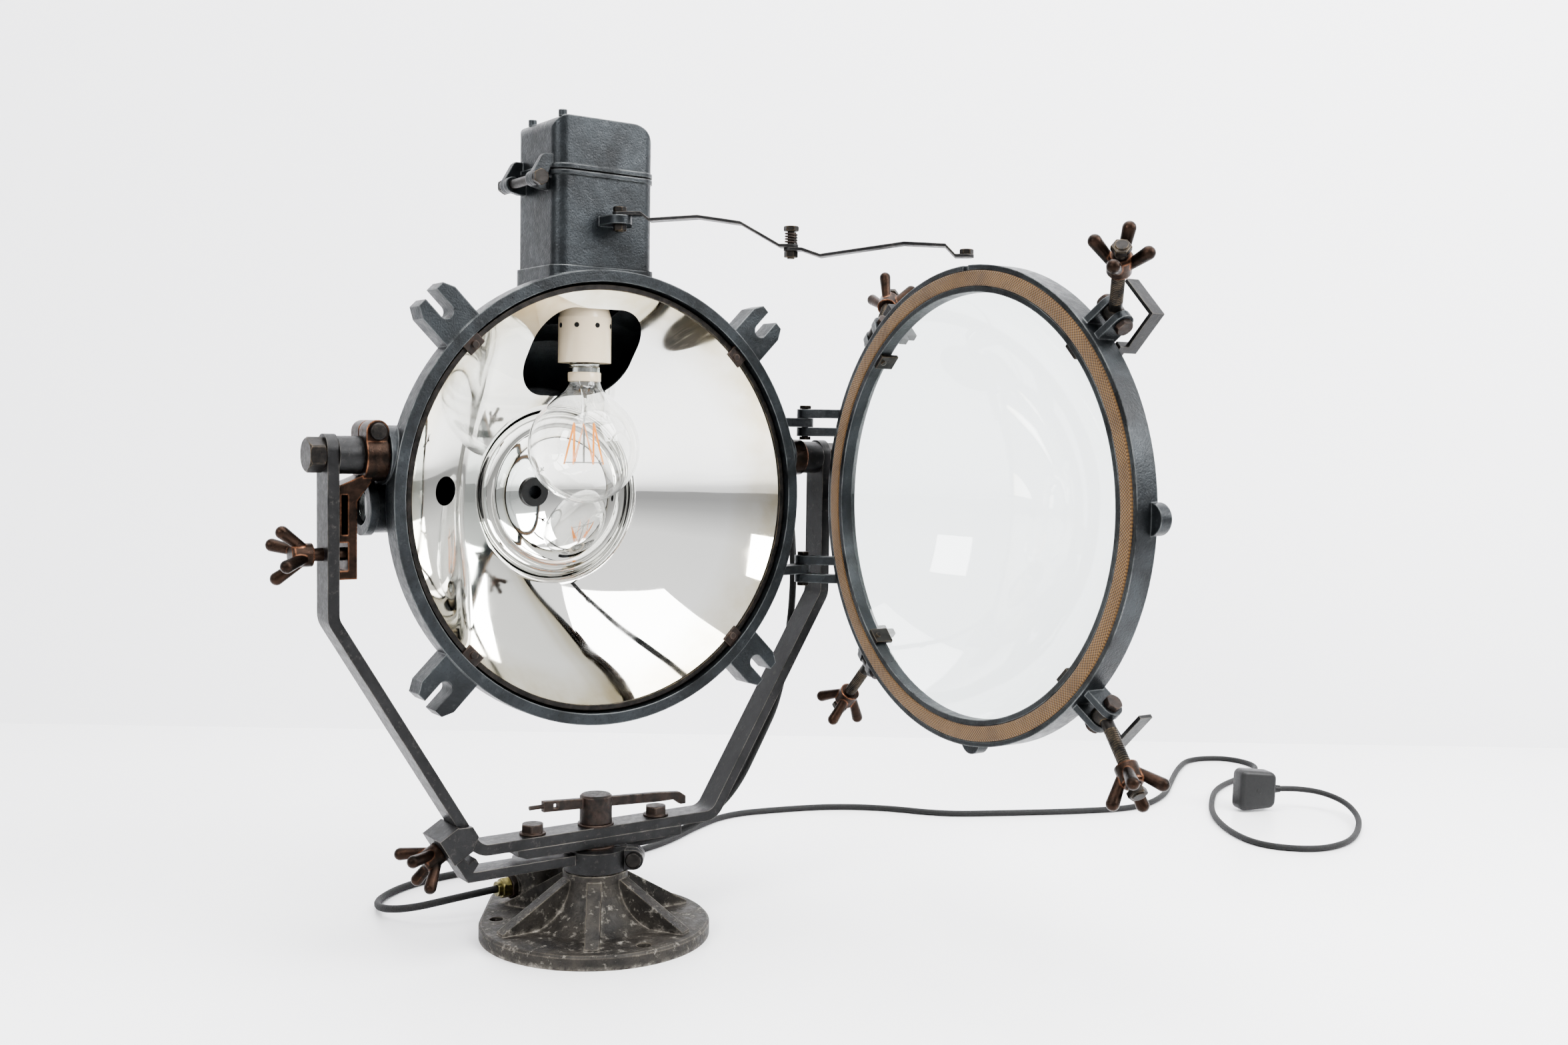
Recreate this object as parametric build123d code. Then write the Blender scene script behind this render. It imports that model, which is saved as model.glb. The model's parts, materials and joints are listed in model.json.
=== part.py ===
from build123d import *
import math
import os

# Ship's searchlight on a flat-bar yoke, in millimetres. +Z is up, the pan axis is Z, the base stands on Z = 0
# and the lamp looks along -Y. The glazed door hangs on the +X side and stands open.

# Clearances
run_gap = 0.05          # radial gap of every turning fit
seat_gap = 0.2          # gap between faces that slide on each other
soft_gap = 0.3          # gap round soft pieces

# Base
plate_r = 97.5          # front arc of the plate
plate_t = 12.0
tail_r = 44.0           # rear arc, round the terminal tower
tower_x, tower_y = -10.0, 84.0
tower_r, tower_wall, tower_top = 25.0, 4.5, 44.0
cover_t = 4.0
hub_r, hub_top = 27.5, 55.0
hub_foot_r = 62.0
rib_count, rib_w, rib_reach = 6, 12.0, 88.0
mount_pcd, mount_hole_r, mount_count = 166.0, 6.0, 3
journal_r = 16.0        # turned neck of the post inside the brake collar
post_r = 11.0
post_floor = 4.0        # metal left under the post, above the plate
collar_r, collar_t = 27.0, 18.0

# Yoke
bar_w, bar_t = 25.0, 9.0
doubler_t, doubler_half = 8.0, 78.0
arm_x = 230.0           # middle of each upright arm
knee_z = 281.0
foot_x = 112.0          # where the arms leave the crossbar
bend_r = 16.0
yoke_bolt_x = 59.0
bolt_shank_r, bolt_head_h, bolt_af = 5.0, 7.0, 17.0
bolt_washer_r, bolt_washer_t = 11.0, 1.5
lead_entry_y = 19.0     # where the head's lead goes into the collar
cap_r, cap_h = 13.75, 24.0
washer_t = 2.0
wing_screw_r = 5.0
tilt_screw_z = 331.0
tilt_screw_out = 8.5    # shank that shows between the arm and the wings
tilt_screw_turn = -21.0 # how far the wings stand turned from the Y axis
clamp_r = 20.0
bush_r = 16.2           # plain bush on the right, which the hinge pin swings past
pinch_z, pinch_r = 18.0, 3.5
pinch_half = 17.0       # half the width of the clamp's ears
tilt_arm_w, tilt_arm_t, tilt_arm_wall = 20.0, 14.0, 7.0
tilt_arm_bottom = 312.0
brake_gap = 0.3         # between a brake arm and the yoke arm that it grips
brake_t, brake_w = 8.0, 22.0
brake_window = 7.5      # open space between the pan brake's leg and the yoke arm
cheek_t, cheek_reach = 5.0, 5.0
pan_screw_up = 16.0     # from the foot corner along the left leaning arm to its wing screw
ear_turn, ear_out, ear_half = -35.0, 33.0, 9.0
ear_step = 0.5          # how far the ears stand back from the collar's faces

# Head
trunnion_z = 406.0
drum_z = 371.0
rim_r, rim_front, rim_depth, rim_wall = 188.0, -25.0, 18.0, 9.5
drum_wall = 5.0
trunnion_boss_r, trunnion_boss_x = 23.0, rim_r + 0.5
stub_r, stub_x = 14.0, rim_r + 18.5
spacer_r = 14.5
trunnion_bolt_r = 8.0
trunnion_af, trunnion_head = 24.0, 12.5
lug_tip_r, lug_slot_w, lug_w, lug_y0, lug_y1 = rim_r + 36.0, 12.0, 37.0, -24.0, -4.0
back_r, back_y = 105.0, 112.0
back_bore, back_depth = 95.0, 133.0
neck_w, neck_y0, neck_y1 = 96.0, -12.0, 68.0
port_y, port_z = 20.0, 366.0
port_r, port_bore, port_x, bezel_x = 21.0, 15.0, rim_r + 3.0, rim_r + 10.0
gland_y, head_gland_z, gland_face = 45.0, 380.0, rim_r - 22.0
box_w, box_y0, box_y1, box_r = 92.0, -10.0, 66.0, 11.0
box_h, lid_h, box_wall = 78.0, 43.0, 5.0
rim_top = drum_z + rim_r
neck_top = rim_top + 3.0
box_seam = neck_top + box_h
box_top = box_seam + lid_h
lid_pin_x, lid_pin_z, lid_pin_r = -box_w / 2 - 12.0, box_seam - 9.0, 4.0

neck_hole_w, neck_hole_y0, neck_hole_y1 = 60.0, -1.0, 55.0
lid_corner = 22.0
lid_lug_y0, lid_lug_y1, lid_lug_w = box_y0 + 8.0, box_y1 - 8.0, 6.0
box_lug_w = 5.7
lid_gasket_t = 1.2
stay_bracket_x0, stay_bracket_x1, stay_bracket_t = -8.0, 20.0, 7.0

# Reflector and lamp
mirror_r, mirror_t = rim_r - rim_wall - 5.0, 2.5
mirror_vertex, mirror_edge = 96.0, rim_front + 8.18
mirror_k = (mirror_vertex - mirror_edge) / mirror_r ** 2
bowl_r, bowl_back = 75.0, 123.0
lamp_y = 27.0
mirror_ring_r0, mirror_ring_r1 = mirror_r - 1.5, mirror_r + 2.7
mirror_ring_y0, mirror_ring_y1 = rim_front + 4.7, rim_front + 7.6
side_hole_r, side_hole_y, side_hole_z = 12.0, 43.0, 376.0
cutout_half, cutout_z0, cutout_z1, cutout_corner = 50.0, 86.0, mirror_r - 15.5, 30.0
grommet_r = 13.0
globe_z, globe_r, globe_t = 412.6, 47.5, 1.2
bulb_cap_r, bulb_cap_z0, bulb_cap_z1 = 13.3, 476.0, 503.0
bridge_z, bridge_t = neck_top + 34.0, 4.0
holder_r, holder_bottom, holder_top = 22.5, 484.5, 545.0

# Door
hinge_x, hinge_y = rim_r + 19.0, -9.0
hinge_half = 66.6       # knuckle stacks above and below the drum centre
knuckle_r, knuckle_t = 7.5, 8.0
hinge_pin_r = 3.0
door_open = 87.0
door_gap = 1.3
door_r, door_bore, door_skirt, door_depth = rim_r + 5.0, rim_r - 16.5, rim_r - 5.5, 22.0
door_plate_t = 11.0     # metal between the door's face and the seat of the glass
gasket_r0, gasket_r1, gasket_t, gasket_proud = rim_r - 12.0, rim_r + 1.0, 4.0, 1.0
glass_t = 4.0
clip_t, clip_half = 3.0, 7.0

strap_bend = (18.0, -10.5, 4.0)     # along the closed door from the hinge, behind it, and radius
strap_foot = (27.0, -27.0, 5.0)
strap_root = (33.0, -30.0, 5.0)
door_boss_r, door_boss_at = 12.0, rim_r + 3.0
glass_r = door_skirt - 2.5  # rim of the dome, which lies behind the plate and inside the skirt
glass_ball = 203.0
stay_lug_t = 8.0

# Swing bolts
bolt_circle = rim_r + 19.0
pivot_depth = 18.7      # pivot in front of the door ring's inner face
swing_r, eye_r, eye_w = 5.0, 8.0, 10.2
swing_length, nut_at = 72.0, 46.0
nut_hub_r, nut_hub_h = 9.0, 16.0
prong_length, prong_r0, prong_r1, prong_lean = 21.0, 3.8, 5.0, 38.0
prong_root_r, prong_root_h = 6.0, 7.0
ear_t, ear_r, pivot_pin_r = 6.0, 9.0, 4.0
ear_inner = 5.3         # from the middle of the bolt to each ear
end_nut_af, end_nut_h = 13.0, 5.0
guard_r0, guard_r1, guard_t = rim_r + 2.0, rim_r + 38.0, 3.0
guard_side, guard_y0, guard_y1 = 19.0, -68.0, -56.0
swing_leans = {"ur": 31.7, "lr": 10.0, "ul": -38.0, "ll": 0.0}
swing_sides = {"ur": (-1, 1), "lr": (-1, -1), "ul": (1, 1), "ll": (1, -1)}

# Stay
stay_end = (2.7, -27.0)     # pivot on the lamp box
stay_bracket_top = neck_top + 41.0
stay_w, stay_t = 12.0, 2.5
stay_bolt_r = 3.0
door_stay_z = rim_top + 11.0
stay_head_h, stay_af = 4.0, 10.0
stay_length = math.dist(stay_end, (hinge_x, hinge_y)) * math.sin(math.radians(door_open) / 2)
fold_end = stay_length - 9.0
stay_folds_a = [(-7, rim_top + 45.7), (18, rim_top + 45.7), (25, rim_top + 40.5), (65, rim_top + 43),
                (fold_end - 32, rim_top + 38), (fold_end, rim_top + 19.9)]
stay_folds_b = [(-8, rim_top + 12.35), (9, rim_top + 12.35), (17, rim_top + 20.5), (50, rim_top + 22),
                (fold_end - 15, rim_top + 12), (fold_end, rim_top + 17.1)]
spring_wire, spring_coil_r, spring_turns = 1.4, 4.6, 4
spring_pitch = 2.15

# Leads
cord_r = 3.25
gland_z = 24.0
gland_pad_r, gland_bore, locknut_t = 10.5, 5.0, 5.0
gland_af, gland_hex, gland_dome_r, gland_dome, gland_shank = 16.0, 8.0, 6.5, 4.0, 9.0

# Places worked out from the sizes above
collar_z = hub_top + 1.0
journal_top = collar_z + collar_t + 2.0
doubler_z = journal_top + seat_gap
bar_z = doubler_z + doubler_t
cap_z = bar_z + bar_t + washer_t
door_face = rim_front - door_gap
pivot_y = door_face - pivot_depth
arm_top = trunnion_z + 16.0
arm_in, arm_out = arm_x - bar_t / 2, arm_x + bar_t / 2


def rod(radius, length, at=(0, 0, 0), axis=(0, 0, 1)):
    """A round bar that starts at a point and runs along an axis."""
    return Plane(origin=at, z_dir=axis) * extrude(Circle(radius), length)


def tube(outer, inner, length, at=(0, 0, 0), axis=(0, 0, 1)):
    """A hollow round bar."""
    return Plane(origin=at, z_dir=axis) * extrude(Circle(outer) - Circle(inner), length)


def hexagon(across, length, at=(0, 0, 0), axis=(0, 0, 1)):
    """A hexagonal head or nut with its corners chamfered round."""
    plane = Plane(origin=at, z_dir=axis)
    prism = extrude(RegularPolygon(across / 2, 6, major_radius=False), length)
    round_off = extrude(Circle(across * 0.56), length)
    return plane * (prism & chamfer(round_off.edges(), across * 0.05))


def block(x0, x1, y0, y1, z0, z1):
    """A box between two corners."""
    return Pos((x0 + x1) / 2, (y0 + y1) / 2, (z0 + z1) / 2) * Box(x1 - x0, y1 - y0, z1 - z0)


def slab_xz(points, y0, y1):
    """A plate cut to an outline in X and Z, thick along Y."""
    face = make_face(Polyline(*points, close=True))
    return Plane(origin=(0, y0, 0), x_dir=(1, 0, 0), z_dir=(0, -1, 0)) * extrude(face, y0 - y1)


def spun(points, axis_z):
    """A solid of revolution about the Y axis line at a height, from (radius, y) points."""
    face = make_face(Polyline(*[(r, y) for r, y in points], close=True))
    return Pos(0, 0, axis_z) * revolve(face, Axis.Y)


def hull(*circles):
    """The face that wraps circles given as (x, y, radius)."""
    edges = [Pos(x, y) * CenterArc((0, 0), r, 0, 180) for x, y, r in circles]
    edges += [Pos(x, y) * CenterArc((0, 0), r, 180, 180) for x, y, r in circles]
    return make_hull(edges)


def rounded_box(w, y0, y1, z0, z1, corner):
    """A box on X = 0 with rounded upright edges."""
    face = RectangleRounded(w, y1 - y0, corner)
    return Pos(0, (y0 + y1) / 2, z0) * extrude(face, z1 - z0)


def opened(shape):
    """Turns a piece modelled on the closed door to the open door."""
    return Pos(hinge_x, hinge_y, 0) * Rot(0, 0, door_open) * Pos(-hinge_x, -hinge_y, 0) * shape


def joined(pieces):
    """Fuses a list of solids into one."""
    first, *rest = pieces
    return first.fuse(*rest).clean() if rest else first


def grown(body, pieces):
    """Fuses pieces onto a body one after the other."""
    for piece in pieces:
        body = body.fuse(piece)
    return body.clean()


parts = {}


def keep(name, shape):
    """Stores a finished piece under its node name."""
    parts[name] = shape


# Base and post

def base_casting():
    plate = extrude(hull((0, 0, plate_r), (tower_x, tower_y, tail_r)), plate_t)
    plate = chamfer(plate.edges().group_by(Axis.Z)[-1], 2.0)
    cone_profile = Polyline((0, 0), (0, hub_top), (hub_r, hub_top), (hub_r, hub_top - 8))
    flare = ThreePointArc((hub_r, hub_top - 8), (hub_r + 9, plate_t + 14), (hub_foot_r, plate_t - 1))
    foot = Polyline((hub_foot_r, plate_t - 1), (hub_foot_r, 0), (0, 0))
    cone = revolve(Plane.XZ * make_face([*cone_profile.edges(), flare, *foot.edges()]), Axis.Z)
    rib_face = make_face(Polyline((20, plate_t - 1), (rib_reach, plate_t - 1), (rib_reach, plate_t + 2),
                                  (hub_r + 1, hub_top - 5), (20, hub_top - 5), close=True))
    rib = Plane(origin=(0, rib_w / 2, 0), x_dir=(1, 0, 0), z_dir=(0, -1, 0)) * extrude(rib_face, rib_w)
    ribs = [Rot(0, 0, 360 / rib_count * k) * rib for k in range(rib_count)]
    tower = rod(tower_r, tower_top, (tower_x, tower_y, 0))
    pad = rod(gland_pad_r, tower_r, (tower_x - tower_r - 0.5, tower_y, gland_z), (1, 0, 0))
    body = joined([plate, cone, *ribs, tower, pad])
    body -= rod(journal_r, hub_top + 1, (0, 0, plate_t + post_floor))
    body -= rod(tower_r - tower_wall, tower_top, (tower_x, tower_y, plate_t))
    body -= rod(gland_bore, tower_r + 5, (tower_x, tower_y, gland_z), (-1, 0, 0))
    for k in range(mount_count):
        angle = math.radians(30 + 360 / mount_count * k)
        body -= rod(mount_hole_r, plate_t * 3, (mount_pcd / 2 * math.cos(angle), mount_pcd / 2 * math.sin(angle), -1))
    return body


def post():
    foot = plate_t + post_floor
    shaft = rod(journal_r, journal_top - foot, (0, 0, foot))
    return joined([shaft, rod(post_r, cap_z + cap_h - 5 - journal_top, (0, 0, journal_top))])


keep("base_casting", base_casting())
keep("pan_post", post())
cover_z = tower_top
cover = chamfer(rod(tower_r, cover_t, (tower_x, tower_y, cover_z)).edges().group_by(Axis.Z)[-1], 1.0)
cover_screws = [rod(3.5, 2.6, (tower_x + 16 * math.cos(a), tower_y + 16 * math.sin(a), cover_z + cover_t))
                for a in (0.5, 2.6, 4.7)]
keep("terminal_cover", Compound([cover, *cover_screws]))
block_body = block(tower_x - 11, tower_x + 11, tower_y - 7, tower_y + 7, plate_t, plate_t + 14)
for dx in (-6, 6):
    block_body -= rod(1.6, 8, (tower_x + dx, tower_y, plate_t + 8))
keep("terminal_block", block_body)


def gland(at, axis):
    """A cord gland that screws into a bore: hexagon, dome and a shank that holds the cord loosely."""
    start, way = Vector(*at), Vector(*axis)
    shank = rod(gland_bore - 0.1, gland_shank, tuple(start - way * gland_shank), axis)
    hexagonal = hexagon(gland_af, gland_hex, at, axis)
    dome = rod(gland_dome_r, gland_dome, tuple(start + way * gland_hex), axis)
    return joined([shank, hexagonal, dome]) - rod(cord_r + 0.1, 60, tuple(start - way * 30), axis)


gland_x = tower_x - tower_r - 0.5
keep("gland_locknut", hexagon(19, locknut_t, (gland_x, tower_y, gland_z), (-1, 0, 0)) -
     rod(gland_bore, 3 * locknut_t, (gland_x + locknut_t, tower_y, gland_z), (-1, 0, 0)))
keep("cable_gland", gland((gland_x - locknut_t, tower_y, gland_z), (-1, 0, 0)))
gland_mouth = gland_x - locknut_t - gland_hex - gland_dome

# Mains lead: from the gland to the floor, round behind the base and away to the plug

floor_z = cord_r + 0.05
plug_half = 24.0        # half the plug's width, which is upright
mains_points = [
    (gland_mouth, tower_y, gland_z), (gland_mouth - 36, tower_y + 1, 22), (-125, 101, 14), (-140, 136, 7),
    (-126, 176, floor_z), (-84, 205, floor_z), (-20, 214, floor_z), (62, 203, floor_z), (136, 184, floor_z),
    (196, 204, floor_z), (250, 238, floor_z), (310, 266, floor_z), (376, 252, floor_z), (434, 232, floor_z),
    (480, 194, floor_z), (516, 140, floor_z), (570, 110, floor_z), (650, 70, floor_z), (728, 41, floor_z),
    (800, 64, floor_z), (868, 112, floor_z), (935, 158, floor_z), (995, 190, floor_z), (1047, 165, floor_z),
    (1037, 106, floor_z), (968, 82, floor_z), (890, 60, floor_z), (828, 18, floor_z), (772, -30, floor_z),
    (730, -88, floor_z), (714, -140, floor_z), (748, -182, floor_z), (800, -184, floor_z), (852, -162, floor_z),
    (898, -132, 8), (924, -92, 16), (910, -54, 23), (876, -41, plug_half)]


def cord_path(points, radii_name):
    """Straight runs joined by tangent arcs, each as large as its two runs allow."""
    vectors = [Vector(*p) for p in points]
    radii = []
    for before, at, after in zip(vectors, vectors[1:], vectors[2:]):
        turn = (at - before).get_angle(after - at)
        radii.append(0.45 * min((at - before).length, (after - at).length) / math.tan(math.radians(turn / 2)))
    print(radii_name, "bend radii", [round(r) for r in radii])
    return FilletPolyline(*points, radius=radii)


def cord(points, name):
    """A round cord along a path."""
    path = cord_path(points, name)
    start = Plane(origin=path @ 0, z_dir=path % 0)
    solid = sweep(start * Circle(cord_r), path=path)
    ratio = solid.volume / (math.pi * cord_r ** 2 * path.length)
    print(name, "length", round(path.length), "volume ratio", round(ratio, 4))
    return solid


keep("mains_lead", cord(mains_points, "mains_lead"))


def plug():
    """A three-pin plug that stands on its side edge, its pins pointing away from the lamp's front."""
    body = extrude(RectangleRounded(2 * plug_half, 46, 8), 20)
    body = fillet(body.edges().group_by(Axis.Z)[0], 5)
    relief = rod(5.0, 10, (0, -22, 10), (0, -1, 0))
    pins = [block(-14.2, -7.8, 2, 6, 19, 38), block(7.8, 14.2, 2, 6, 19, 38), block(-2, 2, -16, -8, 19, 42)]
    whole = Pos(0, 32, -10) * joined([body, relief, *pins])
    heading = (Vector(*mains_points[-1]) - Vector(*mains_points[-2])).normalized()
    side = heading.cross(Vector(0, 0, 1))
    return Plane(origin=mains_points[-1], x_dir=heading.cross(side), z_dir=side) * whole


keep("plug", plug())

# Yoke, with everything bolted to it

foot_z = bar_z + bar_t / 2
arm_lean = math.atan2(knee_z - foot_z, arm_x - foot_x)
pan_axis = (-math.sin(arm_lean), 0, -math.cos(arm_lean))


def on_left_arm(along, out):
    """A point in X and Z beside the left leaning arm: along it from the foot, and outwards from its middle."""
    return (-foot_x - along * math.cos(arm_lean) - out * math.sin(arm_lean),
            foot_z + along * math.sin(arm_lean) - out * math.cos(arm_lean))


def pan_screw_at(out):
    """A point on the pan wing screw's axis, measured outwards from the leaning arm's middle line."""
    x, z = on_left_arm(pan_screw_up, out)
    return (x, 0, z)


def beside_at_height(out, z):
    """The point at a height on a line that runs beside the leaning arm."""
    return on_left_arm((z - foot_z + out * math.cos(arm_lean)) / math.sin(arm_lean), out)


def yoke_bar():
    outline = [(-arm_x, arm_top), (-arm_x, knee_z), (-foot_x, foot_z),
               (foot_x, foot_z), (arm_x, knee_z), (arm_x, arm_top)]
    line = FilletPolyline(*[(x, 0, z) for x, z in outline], radius=bend_r)
    start = Plane(origin=line @ 0, z_dir=line % 0, x_dir=(0, 1, 0))
    bar = sweep(start * Rectangle(bar_w, bar_t), path=line)
    for side in (-1, 1):
        outside = (side * (arm_x + bar_t), 0, trunnion_z)
        end = block(side * arm_x - bar_t, side * arm_x + bar_t, -bar_w, bar_w, arm_top - bar_w / 2, arm_top + 1)
        bar -= end - rod(bar_w / 2, 4 * bar_t, (side * arm_x - 2 * bar_t, 0, arm_top - bar_w / 2), (1, 0, 0))
        bar -= rod(trunnion_bolt_r + run_gap, 2 * bar_t, outside, (-side, 0, 0))
        bar -= rod(bolt_shank_r + run_gap, 3 * bar_t, (side * yoke_bolt_x, 0, bar_z - bar_t))
    bar -= rod(post_r + run_gap, 3 * bar_t, (0, 0, bar_z - bar_t))
    bar -= rod(wing_screw_r + run_gap, 3 * bar_t, (-arm_x - 2 * bar_t, 0, tilt_screw_z), (1, 0, 0))
    bar -= rod(wing_screw_r + run_gap, 3 * bar_t, pan_screw_at(-1.5 * bar_t), pan_axis)
    return bar


def doubler_plate():
    plate = slab_xz([(-doubler_half, doubler_z + 3), (-doubler_half + 8, doubler_z), (doubler_half, doubler_z),
                     (doubler_half, bar_z), (-doubler_half, bar_z)], -bar_w / 2, bar_w / 2)
    plate -= rod(post_r + run_gap, 4 * doubler_t, (0, 0, doubler_z - doubler_t))
    for side in (-1, 1):
        plate -= rod(bolt_shank_r + run_gap, 4 * doubler_t, (side * yoke_bolt_x, 0, doubler_z - doubler_t))
    return plate


def yoke_bolt(side):
    x, seat = side * yoke_bolt_x, bar_z + bar_t
    washer = rod(bolt_washer_r, bolt_washer_t, (x, 0, seat))
    head = hexagon(bolt_af, bolt_head_h, (x, 0, seat + bolt_washer_t))
    return joined([washer, head, rod(bolt_shank_r, bar_t + doubler_t + bolt_washer_t, (x, 0, doubler_z))])


def pan_brake():
    """The split collar with an arm that turns up beside the leaning arm and grips it between two cheeks."""
    top = collar_z + collar_t - 2
    touch = bar_t / 2 + brake_gap
    leg_in = touch + brake_window
    leg_out = leg_in + brake_t
    block_out = leg_out + 3
    lo, hi = pan_screw_up - 10, pan_screw_up + 14
    arm = slab_xz([(0, top), (0, top - brake_t), beside_at_height(leg_out, top - brake_t), on_left_arm(lo + 2, leg_out),
                   on_left_arm(lo + 2, leg_in), on_left_arm(-4, leg_in), on_left_arm(-4, touch),
                   on_left_arm(-9, touch), beside_at_height(leg_in, top)], -brake_w / 2, brake_w / 2)
    wide = bar_w / 2 + brake_gap
    grip = slab_xz([on_left_arm(lo, touch), on_left_arm(lo, block_out), on_left_arm(hi, block_out),
                    on_left_arm(hi, touch)], -wide - cheek_t, wide + cheek_t)
    cheeks = [slab_xz([on_left_arm(lo, touch + 1), on_left_arm(hi, touch + 1), on_left_arm(hi - 7, -cheek_reach),
                       on_left_arm(lo + 7, -cheek_reach)], y, y + cheek_t) for y in (-wide - cheek_t, wide)]
    tip_r = collar_t / 2 - ear_step
    ear = hull((0, 0, tip_r), (ear_out, 0, tip_r))
    ear = Plane(origin=(0, ear_half, collar_z + collar_t / 2), x_dir=(1, 0, 0), z_dir=(0, -1, 0)) * extrude(
        ear, 2 * ear_half)
    brake = joined([rod(collar_r, collar_t, (0, 0, collar_z)), arm, grip, *cheeks, Rot(0, 0, ear_turn) * ear])
    brake -= rod(journal_r + run_gap, 3 * collar_t, (0, 0, collar_z - collar_t))
    middle = collar_z + collar_t / 2
    slit = block(0, ear_out + 2 * collar_t, -1, 1, collar_z - 1, collar_z + collar_t + 1)
    bolt_hole = rod(pinch_r + run_gap, 4 * ear_half, (ear_out, 2 * ear_half, middle), (0, -1, 0))
    seats = [rod(2 * pinch_r, collar_r, (ear_out, side * ear_half, middle), (0, side, 0)) for side in (-1, 1)]
    for cut in (slit, bolt_hole, *seats):
        brake -= Rot(0, 0, ear_turn) * cut
    brake -= rod(wing_screw_r + run_gap, 40, pan_screw_at(0), pan_axis)
    brake -= rod(cord_r + 0.4, collar_r, (journal_r + 3, lead_entry_y, middle), (1, 0, 0))
    return brake


def pinch_bolt(at, span):
    """A bolt along Y through a split clamp's ears: a domed head in front and a nut behind."""
    x, y, z = at
    head = rod(2 * pinch_r - 0.3, 4, (x, y - span, z), (0, -1, 0))
    head = fillet(head.edges().group_by(Axis.Y)[0], 1.8)
    nut = hexagon(3.4 * pinch_r, 5, (x, y + span, z), (0, 1, 0))
    return joined([head, rod(pinch_r, 2 * span, (x, y - span, z), (0, 1, 0)), nut])


def clamp_body():
    """The split bronze clamp round a trunnion stub, modelled on the right."""
    x0, x1 = trunnion_boss_x + seat_gap, stub_x - seat_gap
    middle, half = (x0 + x1) / 2, (x1 - x0) / 2
    ears = hull((middle, trunnion_z, half), (middle, trunnion_z + pinch_z, half))
    ears = Plane(origin=(0, pinch_half, 0), x_dir=(1, 0, 0), z_dir=(0, -1, 0)) * extrude(ears, 2 * pinch_half)
    ears -= block(x0 - 1, x1 + 1, -pinch_half - 1, pinch_half + 1, trunnion_z - 2 * clamp_r, trunnion_z)
    return joined([rod(clamp_r, x1 - x0, (x0, 0, trunnion_z), (1, 0, 0)), ears])


def bored(clamp):
    """Cuts the stub's bore, the slit and the bolt's hole and seats into a clamp on the right."""
    x0, x1 = trunnion_boss_x - 1, stub_x + 1
    middle = (x0 + x1) / 2
    clamp -= rod(stub_r + run_gap, x1 - x0, (x0, 0, trunnion_z), (1, 0, 0))
    clamp -= block(x0, x1, -1, 1, trunnion_z, trunnion_z + 3 * pinch_z)
    clamp -= rod(pinch_r + run_gap, 4 * pinch_half, (middle, 2 * pinch_half, trunnion_z + pinch_z), (0, -1, 0))
    return clamp


def tilt_brake():
    """The left clamp with its arm down beside the yoke arm, modelled on the right and mirrored."""
    inner = arm_in - brake_gap
    back = inner - tilt_arm_t
    start = trunnion_z - clamp_r + 5
    arm = slab_xz([(stub_x - seat_gap, start), (stub_x - seat_gap - 7, start), (stub_x - seat_gap - 6, start - 6),
                   (back, start - 20), (back, tilt_arm_bottom), (inner, tilt_arm_bottom),
                   (inner, tilt_arm_bottom + 6), (inner, start - 8)], -tilt_arm_w / 2, tilt_arm_w / 2)
    clamp = bored(joined([clamp_body(), arm]))
    low, high = tilt_arm_bottom + 7, tilt_screw_z + 9
    clamp -= block(inner - tilt_arm_t + tilt_arm_wall, inner + 1, -tilt_arm_w, tilt_arm_w, low, high)
    pocket = block(inner - tilt_arm_t + tilt_arm_wall, inner - 2, -tilt_arm_w, 5, high + 6, start - 15)
    clamp -= pocket
    clamp -= rod(wing_screw_r + run_gap, 2 * tilt_arm_t, (inner + 1, 0, tilt_screw_z), (-1, 0, 0))
    return mirror(clamp, Plane.YZ)


def wing_nut(bore, first=45):
    """A hub with four round prongs that splay away from the work, standing on the origin along Z."""
    hub = rod(nut_hub_r, nut_hub_h)
    hub = chamfer(hub.edges().group_by(Axis.Z)[-1], 2.0)
    lean = math.radians(prong_lean)
    prongs = []
    for k in range(4):
        turn = math.radians(first + 90 * k)
        across = Vector(math.cos(turn), math.sin(turn), 0)
        frame = Plane(origin=across * prong_root_r + Vector(0, 0, prong_root_h),
                      z_dir=across * math.sin(lean) + Vector(0, 0, math.cos(lean)))
        club = Cone(prong_r0, prong_r1, prong_length, align=(Align.CENTER, Align.CENTER, Align.MIN))
        prongs.append(frame * joined([club, Pos(0, 0, prong_length) * Sphere(prong_r1)]))
    nut = joined([hub, *prongs])
    return nut - rod(bore, 3 * nut_hub_h, (0, 0, -1)) if bore else nut


def wing_screw(shank, first):
    """A wing screw: hub at the origin, prongs along +Z and the shank along -Z."""
    return joined([wing_nut(0, first), rod(wing_screw_r, shank + 1, (0, 0, -shank))])


def trunnion_spacer(side):
    start = stub_x + seat_gap
    return tube(spacer_r, trunnion_bolt_r + run_gap, arm_in - start, (side * start, 0, trunnion_z), (side, 0, 0))


def trunnion_bolt(side):
    head = hexagon(trunnion_af, trunnion_head, (side * arm_out, 0, trunnion_z), (side, 0, 0))
    shank = rod(trunnion_bolt_r, arm_out - trunnion_boss_x - 2, (side * arm_out, 0, trunnion_z), (-side, 0, 0))
    return joined([head, shank])


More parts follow.
